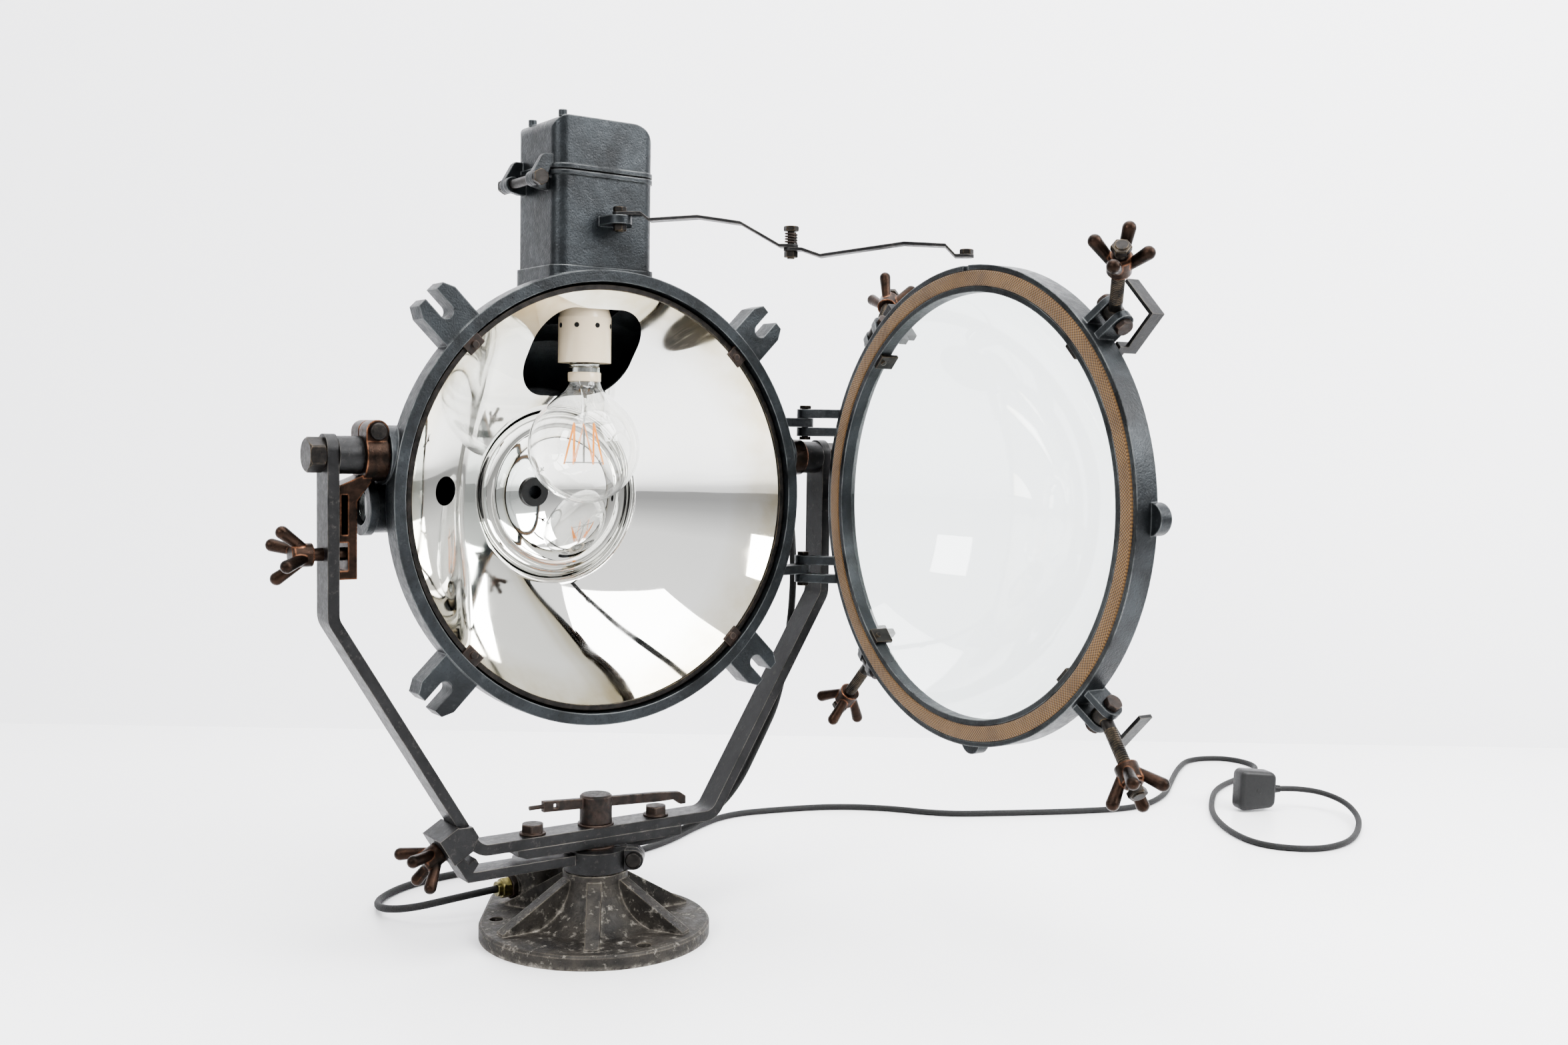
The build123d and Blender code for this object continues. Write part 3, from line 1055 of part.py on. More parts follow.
stay_middle = stay_a + (stay_b - stay_a) * 0.5
keep("stay_link_box", at_stay(stay_link(stay_folds_a), stay_a, stay_heading))
keep("stay_link_door", at_stay(stay_link(stay_folds_b), stay_b, stay_heading + 180))
keep("stay_bolt_box", at_stay(stay_bolt_box(), stay_a, stay_heading))
keep("stay_bolt_middle", at_stay(stay_bolt_middle(), stay_middle, stay_heading))
keep("stay_bolt_door", at_stay(stay_bolt_door(), stay_b, stay_heading))
keep("stay_spring", at_stay(spring(), stay_middle, stay_heading))

# The head's lead hangs from the drum's gland behind the right arm and goes into the pan brake's collar

lead_points = [(gland_face + gland_hex + gland_dome, gland_y, head_gland_z), (196, 45, 380), (212, 45, 373),
               (224, 44, 359), (230, 41, 342), (223, 27, 292), (215, 20, 250), (204, 20, 182), (182, 20, 143),
               (155, 20, 98), (120, 22, 74), (80, 21, 66), (54, lead_entry_y, 65),
               (collar_r - 4, lead_entry_y, collar_z + collar_t / 2)]
keep("head_lead", cord(lead_points, "head_lead"))


os.makedirs("parts", exist_ok=True)
for name, shape in parts.items():
    export_step(shape, f"parts/{name}.step")
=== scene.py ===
"""Looks of a ship's searchlight: finishes, leads, mirror, glass, gaskets, threads and the studio."""

import json
import logging
import math
from dataclasses import dataclass
from enum import Enum
from typing import Callable, Sequence

import bmesh
import bpy
from mathutils import Matrix, Vector, noise

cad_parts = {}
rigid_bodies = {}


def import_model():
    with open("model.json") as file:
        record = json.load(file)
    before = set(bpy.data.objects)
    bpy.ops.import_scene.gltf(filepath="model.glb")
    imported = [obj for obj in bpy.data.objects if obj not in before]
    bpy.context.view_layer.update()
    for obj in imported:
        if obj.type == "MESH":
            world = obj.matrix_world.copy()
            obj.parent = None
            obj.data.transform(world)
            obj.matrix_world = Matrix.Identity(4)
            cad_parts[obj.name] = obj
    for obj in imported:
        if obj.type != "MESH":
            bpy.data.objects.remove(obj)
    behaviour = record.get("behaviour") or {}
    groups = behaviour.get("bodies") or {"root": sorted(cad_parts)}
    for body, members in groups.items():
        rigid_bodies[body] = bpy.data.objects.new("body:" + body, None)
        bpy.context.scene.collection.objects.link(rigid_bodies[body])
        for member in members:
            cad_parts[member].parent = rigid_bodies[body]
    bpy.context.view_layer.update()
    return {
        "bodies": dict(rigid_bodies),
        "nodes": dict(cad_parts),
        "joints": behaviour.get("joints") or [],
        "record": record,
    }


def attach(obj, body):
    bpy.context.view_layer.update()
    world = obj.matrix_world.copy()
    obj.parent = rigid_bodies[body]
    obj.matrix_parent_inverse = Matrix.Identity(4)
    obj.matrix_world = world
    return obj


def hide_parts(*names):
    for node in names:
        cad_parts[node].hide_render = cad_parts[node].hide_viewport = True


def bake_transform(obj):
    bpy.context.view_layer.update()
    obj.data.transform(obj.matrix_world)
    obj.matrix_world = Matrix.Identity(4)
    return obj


log = logging.getLogger("searchlight")

# Sizes that several sub-assemblies share, in mm and degrees

MM = 0.001                       # one millimetre in metres, in which the scene counts
DRUM_Z = 371.0                   # height of the axis about which the drum, mirror and door are round
DOOR_HINGE = (207.0, -9.0, 0.0)  # a point of the door's upright hinge axis
DOOR_OPEN = 87.0                 # how far the door stands open

# A colour mix's two colours, and a number mix's two numbers, among its input sockets
TINT_A, TINT_B = 6, 7
NUMBER_A, NUMBER_B = 2, 3


class Axis(Enum):
    """The axis that a turned piece is spun about."""

    Y = "y"
    Z = "z"


# Small tools


def colour(code: str) -> tuple[float, float, float, float]:
    """Turns an sRGB hex colour into the linear colour that a shader takes.

    Args:
        code: The colour as "#rrggbb".

    Returns:
        Red, green, blue and an alpha of 1, all linear.
    """
    channels = [int(code[i:i + 2], 16) / 255 for i in (1, 3, 5)]
    linear = [c / 12.92 if c <= 0.04045 else ((c + 0.055) / 1.055) ** 2.4 for c in channels]
    return (linear[0], linear[1], linear[2], 1.0)


def per_mm(size: float) -> float:
    """Gives the texture scale whose features are about a size in millimetres across."""
    return 1000.0 / size


def add_node(tree: bpy.types.NodeTree, kind: str, settings: dict | None = None,
             links: dict | None = None) -> bpy.types.Node:
    """Adds a node with its settings and links.

    Args:
        tree: The tree that gets the node.
        kind: The node's type name.
        settings: Values by attribute name, or by the name or number of an input socket. "stops" are a
            colour ramp's (place, colour) pairs, its first and last ones first.
        links: Output sockets by the name or number of the input socket that each feeds.

    Returns:
        The new node.
    """
    made = tree.nodes.new(kind)
    for name, value in (settings or {}).items():
        if name == "stops":
            ramp = made.color_ramp
            for place, _ in value[2:]:
                ramp.elements.new(place)
            for element, (place, tint) in zip(ramp.elements, sorted(value)):
                element.position, element.color = place, tint
        elif isinstance(name, int) or name in made.inputs:
            made.inputs[name].default_value = value
        else:
            setattr(made, name, value)
    for name, source in (links or {}).items():
        tree.links.new(source, made.inputs[name])
    return made


def in_metres(place_mm: Sequence[float]) -> Vector:
    """Turns a place in millimetres into a vector in metres, which is rounded only once."""
    return Vector([c * MM for c in place_mm])


def door_turn(angle: float) -> Callable[[Vector], Vector]:
    """Gives the turn of a point, in metres, about the door's hinge by an angle in degrees."""
    hinge, turn = in_metres(DOOR_HINGE), Matrix.Rotation(math.radians(angle), 3, "Z")
    return lambda point: turn @ (point - hinge) + hinge


opened = door_turn(DOOR_OPEN)
shut = door_turn(-DOOR_OPEN)


def linked(name: str, data: bpy.types.ID) -> bpy.types.Object:
    """Makes an object at the origin and links it to the scene."""
    made = bpy.data.objects.new(name, data)
    bpy.context.scene.collection.objects.link(made)
    return made


def mesh_object(name: str, mesh: bpy.types.Mesh | bmesh.types.BMesh, finish: bpy.types.Material,
                sharp: float = 35.0) -> bpy.types.Object:
    """Makes an object at the origin from a mesh, with welded points, outward faces and smooth shading.

    Args:
        name: The piece's name.
        mesh: A mesh, or a bmesh that is used up.
        finish: The material of the whole piece.
        sharp: Edges that turn by more than this many degrees stay sharp.

    Returns:
        The linked object.
    """
    if isinstance(mesh, bmesh.types.BMesh):
        bmesh.ops.remove_doubles(mesh, verts=mesh.verts, dist=1e-6)
        bmesh.ops.recalc_face_normals(mesh, faces=mesh.faces)
        data = bpy.data.meshes.new(name)
        mesh.to_mesh(data)
        mesh.free()
    else:
        data = mesh
    data.materials.clear()
    data.materials.append(finish)
    data.shade_smooth()
    data.set_sharp_from_angle(angle=math.radians(sharp))
    return linked(name, data)


def evaluated_mesh(source: bpy.types.Object) -> bpy.types.Mesh:
    """Takes the finished mesh of a curve or of an object with a modifier, and removes that object."""
    graph = bpy.context.evaluated_depsgraph_get()
    mesh = bpy.data.meshes.new_from_object(source.evaluated_get(graph))
    bpy.data.objects.remove(source)
    return mesh


def wear(nodes: dict[str, bpy.types.Object], worn: dict[bpy.types.Material, Sequence[str]]) -> None:
    """Puts finishes on CAD nodes.

    Args:
        nodes: The CAD nodes by name.
        worn: The names of the nodes that wear each finish.
    """
    for finish, names in worn.items():
        for name in names:
            nodes[name].data.materials.clear()
            nodes[name].data.materials.append(finish)


def lathe(profile: Sequence[tuple[float, float]], axis: Axis, centre: tuple[float, float, float],
          steps: int, closed: bool = True,
          wobble: Callable[[float, float, float], float] | None = None) -> bmesh.types.BMesh:
    """Spins a section about an axis.

    Args:
        profile: (radius, height along the axis) points of the section, in mm.
        axis: The axis.
        centre: A point of the axis, in mm; heights count from it.
        steps: How many steps go round.
        closed: Whether the section's last point joins its first.
        wobble: Adds to a point's height, in mm, from its radius, angle and height.

    Returns:
        The turned mesh, in metres, with a pole wherever the section meets the axis.
    """
    made = bmesh.new()
    rings: list[list[bmesh.types.BMVert]] = []
    for radius, height in profile:
        ring = []
        for k in range(1 if radius == 0 else steps):
            angle = 2 * math.pi * k / steps
            rise = height + (wobble(radius, angle, height) if wobble else 0.0)
            across, up = radius * math.cos(angle), radius * math.sin(angle)
            place = (across, rise, up) if axis is Axis.Y else (across, up, rise)
            ring.append(made.verts.new([(c + p) * MM for c, p in zip(centre, place)]))
        rings.append(ring)
    pairs = list(zip(rings, rings[1:])) + ([(rings[-1], rings[0])] if closed else [])
    for low, high in pairs:
        for k in range(steps if max(len(low), len(high)) > 1 else 0):
            n = k + 1
            corners = [low[k % len(low)], low[n % len(low)], high[n % len(high)], high[k % len(high)]]
            made.faces.new(list(dict.fromkeys(corners)))
    return made


def moved(mesh: bmesh.types.BMesh, way: Callable[[Vector], Vector]) -> bmesh.types.BMesh:
    """Moves every point of a bmesh by a function and gives it back."""
    for vert in mesh.verts:
        vert.co = way(vert.co)
    return mesh


def arc(centre: tuple[float, float], radius: float, start: float, end: float,
        steps: int) -> list[tuple[float, float]]:
    """Points of a plane arc, from one angle to another, in degrees."""
    angles = [math.radians(start + (end - start) * k / steps) for k in range(steps + 1)]
    return [(centre[0] + radius * math.cos(a), centre[1] + radius * math.sin(a)) for a in angles]


def prism(sides: int, radius: float, low: float, high: float, bevel: float = 0.0) -> bmesh.types.BMesh:
    """A prism along Z with its upper and lower edges bevelled, in metres from sizes in mm.

    Args:
        sides: How many sides it has.
        radius: From its axis to a corner.
        low: Its lower end.
        high: Its upper end.
        bevel: How much its end edges are cut.

    Returns:
        The closed prism.
    """
    section = [(0.0, low), (radius - bevel, low), (radius, low + bevel), (radius, high - bevel),
               (radius - bevel, high), (0.0, high)]
    return lathe(section, Axis.Z, (0, 0, 0), sides, closed=False)


def block(low: Sequence[float], high: Sequence[float]) -> bmesh.types.BMesh:
    """A box between two corners in mm, made in metres."""
    made = bmesh.new()
    bmesh.ops.create_cube(made, size=1.0)
    for vert in made.verts:
        vert.co = Vector([(a + (c + 0.5) * (b - a)) * MM for c, a, b in zip(vert.co, low, high)])
    return made


def round_off(mesh: bmesh.types.BMesh, size: float, segments: int,
              picks: Callable[[bmesh.types.BMEdge], bool]) -> None:
    """Rounds the edges of a bmesh that a test picks, by a size in mm."""
    edges = [edge for edge in mesh.edges if picks(edge)]
    bmesh.ops.bevel(mesh, geom=edges, offset=size * MM, segments=segments, profile=0.5, affect="EDGES")


def threaded(radius: float, depth: float, pitch: float, low: float, high: float,
             sides: int = 28) -> bmesh.types.BMesh:
    """A rod along Z with a rolled thread, whose crests and roots climb round it.

    Args:
        radius: Crest radius in mm.
        depth: Depth of the thread.
        pitch: Rise of one turn.
        low: Its lower end.
        high: Its upper end.
        sides: Steps round it.

    Returns:
        The closed rod, in metres.
    """
    made = bmesh.new()
    rings_per_turn = 6
    count = int((high - low) / pitch * rings_per_turn)
    rings = []
    for i in range(count + 1):
        z = low + (high - low) * i / count
        ring = []
        for k in range(sides):
            angle = 2 * math.pi * k / sides
            phase = (z / pitch - k / sides) % 1.0
            r = radius - depth * (0.5 + 0.5 * math.cos(2 * math.pi * phase))
            ring.append(made.verts.new((r * math.cos(angle) * MM, r * math.sin(angle) * MM, z * MM)))
        rings.append(ring)
    for lower, upper in zip(rings, rings[1:]):
        for k in range(sides):
            n = (k + 1) % sides
            made.faces.new([lower[k], lower[n], upper[n], upper[k]])
    made.faces.new(rings[0][::-1])
    made.faces.new(rings[-1])
    return made


def merged(pieces: Sequence[bmesh.types.BMesh]) -> bmesh.types.BMesh:
    """Puts closed shells, each with outward faces, into one bmesh; the shells are used up."""
    whole = bmesh.new()
    for piece in pieces:
        bmesh.ops.recalc_face_normals(piece, faces=piece.faces)
        carrier = bpy.data.meshes.new("carrier")
        piece.to_mesh(carrier)
        piece.free()
        whole.from_mesh(carrier)
        bpy.data.meshes.remove(carrier)
    return whole


class GrowTree:
    """A geometry node tree with named sizes, and the plain mesh that it grows."""

    def __init__(self, name: str, sizes: dict[str, float]) -> None:
        """Makes the tree with one input for each size.

        Args:
            name: The tree's name.
            sizes: Each input's name and value; a whole number makes a whole-number input.
        """
        self.tree = bpy.data.node_groups.new(name, "GeometryNodeTree")
        self.tree.interface.new_socket("Geometry", in_out="OUTPUT", socket_type="NodeSocketGeometry")
        self.sizes = sizes
        for size, value in sizes.items():
            kind = "NodeSocketInt" if isinstance(value, int) else "NodeSocketFloat"
            self.tree.interface.new_socket(size, in_out="INPUT", socket_type=kind)
        self.size = self.tree.nodes.new("NodeGroupInput").outputs

    def node(self, kind: str, settings: dict | None = None,
             links: dict | None = None) -> bpy.types.NodeSocket:
        """Adds a node to the tree and gives its first output."""
        return add_node(self.tree, kind, settings, links).outputs[0]

    def grow(self, name: str, geometry: bpy.types.NodeSocket,
             finish: bpy.types.Material) -> bpy.types.Object:
        """Runs the tree and turns its result into a plain piece.

        Args:
            name: The piece's name.
            geometry: The socket that gives the finished shape.
            finish: The piece's material.

        Returns:
            The piece, with no modifier left.
        """
        real = self.node("GeometryNodeRealizeInstances", links={"Geometry": geometry})
        dressed = self.node("GeometryNodeSetMaterial", {"Material": finish}, {"Geometry": real})
        end = self.tree.nodes.new("NodeGroupOutput")
        self.tree.links.new(dressed, end.inputs[0])
        seed = linked(name + "_seed", bpy.data.meshes.new(name + "_seed"))
        modifier = seed.modifiers.new("grow", "NODES")
        modifier.node_group = self.tree
        for item in self.tree.interface.items_tree:
            if item.in_out == "INPUT":
                modifier[item.identifier] = self.sizes[item.name]
        return mesh_object(name, evaluated_mesh(seed), finish)


class Paint:
    """A material's node tree, with short forms of the nodes that every finish is mixed from."""

    def __init__(self, name: str) -> None:
        """Makes an empty material with a surface shader and the object coordinates in metres."""
        self.material = bpy.data.materials.new(name)
        self.material.use_nodes = True
        self.tree = self.material.node_tree
        self.tree.nodes.clear()
        self.surface = add_node(self.tree, "ShaderNodeBsdfPrincipled")
        add_node(self.tree, "ShaderNodeOutputMaterial", links={"Surface": self.surface.outputs[0]})
        self.place = add_node(self.tree, "ShaderNodeTexCoord").outputs["Object"]

    def node(self, kind: str, settings: dict | None = None, links: dict | None = None,
             output: int | str = 0) -> bpy.types.NodeSocket:
        """Adds a node and gives one of its outputs."""
        return add_node(self.tree, kind, settings, links).outputs[output]

    def cloud(self, size_mm: float, detail: float, **settings: float) -> bpy.types.NodeSocket:
        """Noise whose patches are about a size across."""
        settings = {"Scale": per_mm(size_mm), "Detail": detail, **settings}
        return self.node("ShaderNodeTexNoise", settings, {"Vector": self.place})

    def remap(self, source: bpy.types.NodeSocket, low: float, high: float, to_low: float = 0.0,
              to_high: float = 1.0) -> bpy.types.NodeSocket:
        """Stretches one range of a value onto another."""
        return self.node("ShaderNodeMapRange", {1: low, 2: high, 3: to_low, 4: to_high}, {0: source})

    def product(self, one: bpy.types.NodeSocket, other: bpy.types.NodeSocket) -> bpy.types.NodeSocket:
        """Multiplies two values."""
        return self.node("ShaderNodeMath", {"operation": "MULTIPLY"}, {0: one, 1: other})

    def tint(self, share: bpy.types.NodeSocket, first: str | bpy.types.NodeSocket,
             second: str) -> bpy.types.NodeSocket:
        """Mixes colours.

        Args:
            share: How much of the second colour shows.
            first: The colour underneath, as a hex code or the socket that gives it.
            second: The colour over it, as a hex code.

        Returns:
            The mixed colour.
        """
        settings, links = {"data_type": "RGBA", TINT_B: colour(second)}, {0: share}
        if isinstance(first, str):
            settings[TINT_A] = colour(first)
        else:
            links[TINT_A] = first
        return self.node("ShaderNodeMix", settings, links, 2)

    def bump(self, height: bpy.types.NodeSocket, depth_mm: float, strength: float = 1.0,
             normal: bpy.types.NodeSocket | None = None) -> bpy.types.NodeSocket:
        """Raises the surface by a height of so many millimetres."""
        links = {"Height": height} if normal is None else {"Height": height, "Normal": normal}
        return self.node("ShaderNodeBump", {"Strength": strength, "Distance": depth_mm * MM}, links)

    def done(self, sources: dict[str, bpy.types.NodeSocket], values: dict) -> bpy.types.Material:
        """Feeds the surface shader and gives the material.

        Args:
            sources: What feeds each of the shader's sockets that varies.
            values: The shader's own constants.

        Returns:
            The finished material.
        """
        for name, source in sources.items():
            self.tree.links.new(source, self.surface.inputs[name])
        for name, value in values.items():
            self.surface.inputs[name].default_value = value
        return self.material


# Finishes


@dataclass(frozen=True)
class Finish:
    """A named finish of the searchlight."""

    name: str

    def build(self) -> bpy.types.Material:
        """Makes the material."""
        raise NotImplementedError


@dataclass(frozen=True)
class WornMetal(Finish):
    """A bare or painted metal, rubbed bright on its edges by handling and dulled in its hollows."""

    body: str
    shade: str
    edge: str
    dust: str
    metallic: float
    rough_low: float
    rough_high: float
    blotch_mm: float = 38.0
    grain_mm: float = 1.5
    grain_depth_mm: float = 0.22
    wear: float = 0.7
    wear_mm: float = 1.6
    dusty: float = 0.5
    freckle: float = 0.25
    hollow_mm: float = 9.0

    def build(self) -> bpy.types.Material:
        """Makes blotches, grain, freckles, dust in the hollows and bright rubbed edges."""
        paint = Paint(self.name)
        blotch = paint.cloud(self.blotch_mm, 6.0, Roughness=0.62, Distortion=0.4)
        grain = paint.cloud(self.grain_mm, 3.0)
        spots = paint.cloud(self.grain_mm * 4.5, 5.0, Roughness=0.75)
        base = paint.tint(paint.remap(blotch, 0.34, 0.66), self.shade, self.body)
        base = paint.tint(paint.remap(spots, 0.56, 0.7, 0.0, self.freckle), base, self.dust)
        base = paint.tint(paint.remap(grain, 0.42, 0.28, 0.0, 0.75), base, self.shade)
        # Dust lies where little open air reaches, in patches.
        open_air = paint.node("ShaderNodeAmbientOcclusion",
                              {"samples": 4, "Distance": self.hollow_mm * MM}, output="AO")
        hollow = paint.remap(open_air, 0.75, 0.3)
        patch = paint.remap(spots, 0.4, 0.62, 0.0, self.dusty)
        base = paint.tint(paint.product(hollow, patch), base, self.dust)
        # An edge is rubbed where its rounded normal leaves the flat one, outside the hollows.
        round_edge = paint.node("ShaderNodeBevel", {"samples": 4, "Radius": self.wear_mm * MM})
        flat = paint.node("ShaderNodeNewGeometry", output="Normal")
        match = paint.node("ShaderNodeVectorMath", {"operation": "DOT_PRODUCT"},
                           {0: round_edge, 1: flat}, "Value")
        ridge = paint.product(paint.remap(match, 0.995, 0.86), open_air)
        bright = paint.product(ridge, paint.remap(blotch, 0.36, 0.56, 0.0, self.wear))
        base = paint.tint(bright, base, self.edge)
        rough = paint.remap(spots, 0.3, 0.7, self.rough_low, self.rough_high)
        rough = paint.node("ShaderNodeMix", {NUMBER_B: self.rough_low}, {0: bright, NUMBER_A: rough})
        relief = paint.node("ShaderNodeMath", {"operation": "ADD"}, {0: grain, 1: spots})
        bump = paint.bump(relief, self.grain_depth_mm, normal=round_edge)
        return paint.done({"Base Color": base, "Roughness": rough, "Normal": bump},
                          {"Metallic": self.metallic})


@dataclass(frozen=True)
class SilveredMirror(Finish):
    """Polished plate with a silver back: a clean reflection with a little dust and a yellowed rim."""

    silver: str = "#efefec"
    tarnish: str = "#b9a874"
    band_mm: tuple[float, float] = (144.0, 173.0)

    def build(self) -> bpy.types.Material:
        """Makes the mirror with smudges and a tarnished band at its edge."""
        paint = Paint(self.name)
        flattened = {"Location": (0, 0, -DRUM_Z * MM), "Scale": (1, 0, 1)}
        centred = paint.node("ShaderNodeMapping", flattened, {"Vector": paint.place})
        radius = paint.node("ShaderNodeVectorMath", {"operation": "LENGTH"}, {0: centred}, "Value")
        cloud = paint.cloud(24, 6.0)
        ripple = paint.cloud(90, 1.0)
        band = paint.remap(radius, *(r * MM for r in self.band_mm))
        base = paint.tint(paint.product(band, cloud), self.silver, self.tarnish)
        rough = paint.remap(cloud, 0.35, 0.75, 0.015, 0.07)
        bump = paint.bump(ripple, 1.2, 0.5)
        return paint.done({"Base Color": base, "Roughness": rough, "Normal": bump}, {"Metallic": 1.0})


@dataclass(frozen=True)
class ClearGlass(Finish):
    """Soda-lime glass, pressed or blown: clear, a touch cold, with faint wiping marks."""

    tint: str = "#f4f9f8"
    smear: float = 0.02

    def build(self) -> bpy.types.Material:
        """Makes the glass with faint smears."""
        paint = Paint(self.name)
        rough = paint.remap(paint.cloud(45, 7.0), 0.5, 0.8, 0.0, self.smear)
        return paint.done({"Roughness": rough},
                          {"Base Color": colour(self.tint), "Transmission Weight": 1.0, "IOR": 1.5})


@dataclass(frozen=True)
class Glazed(Finish):
    """A smooth moulded or glazed body with small differences of tone and gloss."""

    body: str
    shade: str
    gloss: float
    grain_mm: float = 12.0
    relief_mm: float = 0.03

    def build(self) -> bpy.types.Material:
        """Makes the two tones, the uneven gloss and a slight relief."""
        paint = Paint(self.name)
        cloud = paint.cloud(self.grain_mm, 6.0)
        base = paint.tint(cloud, self.body, self.shade)
        rough = paint.remap(cloud, 0.3, 0.7, self.gloss, self.gloss + 0.15)
        bump = paint.bump(cloud, self.relief_mm)
        return paint.done({"Base Color": base, "Roughness": rough, "Normal": bump}, {})


@dataclass(frozen=True)
class Woven(Finish):
    """Plain-woven cloth on the piece's own map in millimetres: threads, stains and a dry surface."""

    thread: str
    shade: str
    stain: str
    thread_mm: float
    relief_mm: float

    def build(self) -> bpy.types.Material:
        """Makes the over-and-under of the threads and the stains."""
        paint = Paint(self.name)
        cloth = paint.node("ShaderNodeUVMap", {"uv_map": "cloth_mm"})
        split = add_node(paint.tree, "ShaderNodeSeparateXYZ", links={0: cloth}).outputs
        waves = []
        for across in (split[0], split[1]):
            turn = {"operation": "MULTIPLY", 1: math.pi / self.thread_mm}
            angle = paint.node("ShaderNodeMath", turn, {0: across})
            waves.append(paint.node("ShaderNodeMath", {"operation": "SINE"}, {0: angle}))
        lift = paint.remap(paint.product(*waves), -0.7, 0.7)
        fuzz = paint.cloud(0.9, 4.0)
        patch = paint.cloud(30, 6.0, Roughness=0.7)
        base = paint.tint(lift, self.shade, self.thread)
        base = paint.tint(paint.remap(patch, 0.45, 0.72, 0.0, 0.75), base, self.stain)
        height = paint.node("ShaderNodeMath", {"operation": "MULTIPLY_ADD", 1: 0.4}, {0: fuzz, 2: lift})
        bump = paint.bump(height, self.relief_mm)
        return paint.done({"Base Color": base, "Normal": bump}, {"Roughness": 0.93, "Sheen Weight": 0.2})


@dataclass(frozen=True)
class Glow(Finish):
    """The phosphor-coated sticks of the bulb, pale orange even when dark, with a faint painted glow."""

    deep: str = "#f08a1c"
    pale: str = "#ffb54a"
    light: str = "#ff9a2e"

    def build(self) -> bpy.types.Material:
        """Makes the coated stick with a faint painted glow."""
        paint = Paint(self.name)
        base = paint.tint(paint.cloud(2, 3.0), self.deep, self.pale)
        # A faint orange emission paints a glow on the sticks.
        return paint.done({"Base Color": base}, {"Emission Color": colour(self.light),
                                                 "Emission Strength": 0.5, "Roughness": 0.5})


@dataclass
class Finishes:
    """Every finish of the searchlight, each named for the real material."""

    def __post_init__(self) -> None:
        """Builds the materials."""
        # Sand-cast gunmetal under old blue-black paint: granular, half dull, with pale rubbed edges.
        self.cast = WornMetal("painted_cast_gunmetal", "#2a2e31", "#141618", "#7f8282", "#55595a",
                              0.6, 0.26, 0.52, wear=0.85, dusty=0.22, freckle=0.18).build()
        # Cast iron base that weather left brown-grey, with chalky deposits between its ribs.
        self.base_iron = WornMetal("weathered_cast_iron", "#38342f", "#171513", "#857c6e", "#a9a49b",
                                   0.35, 0.42, 0.8, blotch_mm=24.0, grain_mm=1.8, grain_depth_mm=0.35,
                                   wear=0.6, dusty=0.95, freckle=0.55).build()
        # Flat steel with old dark paint: smoother, speckled, its edges rubbed to grey metal.
        self.bar = WornMetal("painted_flat_steel", "#212122", "#111112", "#7a756e", "#55524e",
                             0.55, 0.28, 0.52, blotch_mm=30.0, grain_mm=1.1, grain_depth_mm=0.1,
                             wear=0.8, wear_mm=1.1, dusty=0.3, freckle=0.35).build()
        # Cast bronze that handling has polished on its corners: brown skin, copper edges.
        self.bronze = WornMetal("handled_cast_bronze", "#33261f", "#14100d", "#a8765a", "#332b26",
                                0.9, 0.24, 0.46, blotch_mm=14.0, grain_mm=1.0, grain_depth_mm=0.12,
                                wear=0.95, wear_mm=2.0, dusty=0.4, freckle=0.15).build()
        # Turned steel with a thin brown rust skin.
        self.rust = WornMetal("rusted_turned_steel", "#2f2520", "#161210", "#75655a", "#4b3325",
                              0.55, 0.36, 0.66, blotch_mm=10.0, grain_mm=0.9, grain_depth_mm=0.12,
                              wear=0.6, dusty=0.6, freckle=0.4).build()
        # Oil-blackened bolts and pins, a little brassy where tools have touched them.
        self.black = WornMetal("blackened_steel", "#292624", "#121110", "#7f6e54", "#463b30",
                               0.75, 0.26, 0.5, blotch_mm=9.0, grain_mm=0.8, grain_depth_mm=0.08,
                               wear=0.7, wear_mm=0.8, dusty=0.4, freckle=0.3).build()
        # Brass of the leads' glands and the plug's pins, dulled to olive.
        self.brass = WornMetal("dull_brass", "#8a8153", "#4d4930", "#c2b987", "#6b6548",
                               0.95, 0.25, 0.45, blotch_mm=8.0, grain_mm=0.8, grain_depth_mm=0.05,
                               wear=0.8, wear_mm=0.7, dusty=0.4, freckle=0.2).build()
        # Bright plating of the bulb's screw cap and support wires.
        self.plated = WornMetal("plated_lamp_cap", "#b7b9b6", "#8b8d8b", "#e6e6e2", "#8a8880",
                                1.0, 0.16, 0.3, blotch_mm=10.0, grain_mm=0.9, grain_depth_mm=0.02,
                                wear=0.6, wear_mm=0.6, dusty=0.3, freckle=0.1).build()
        # Silvered reflector: bright, with a yellowed band at its rim.
        self.mirror = SilveredMirror("silvered_mirror").build()
        # Thick pressed glass of the door and the sight port: clear, a touch cold.
        self.dome = ClearGlass("pressed_dome_glass").build()
        # Thin blown glass of the bulb: clear and clean.
        self.blown = ClearGlass("blown_bulb_glass", "#fbfbfa", 0.0).build()
        # Glazed steatite of the lamp holder, the bulb's collar and the terminals: cream, wet gloss.
        self.porcelain = Glazed("glazed_porcelain", "#d9cbb4", "#cdbda3", 0.12).build()
        # Moulded rubber and thermoplastic: near black, satin.
        self.moulding = Glazed("black_moulding", "#0c0c0d", "#060607", 0.4, 3.0, 0.05).build()
        # Braided lead: the braid of 0.5 mm yarn is too fine to show, so it is drawn at 1.2 mm.
        self.braid = Glazed("black_braided_lead", "#0a0a0b", "#030303", 0.62, 1.2, 0.25).build()
        # Flat canvas packing, yarn of about 1.3 mm, browned with grease and age.
        self.canvas = Woven("tanned_canvas_packing", "#72552f", "#352411", "#3a2814", 1.3, 0.35).build()
        # Coated filament sticks: orange, with a faint painted glow.
        self.glow = Glow("phosphor_stick_painted_glow").build()
        # Painted shade for the drilled holes seen from outside: black, dull discs stand in for the dark
        # inside of each hole.
        self.dark = Glazed("painted_bore_shade", "#0b0a09", "#050505", 0.8).build()


# Sub-assemblies


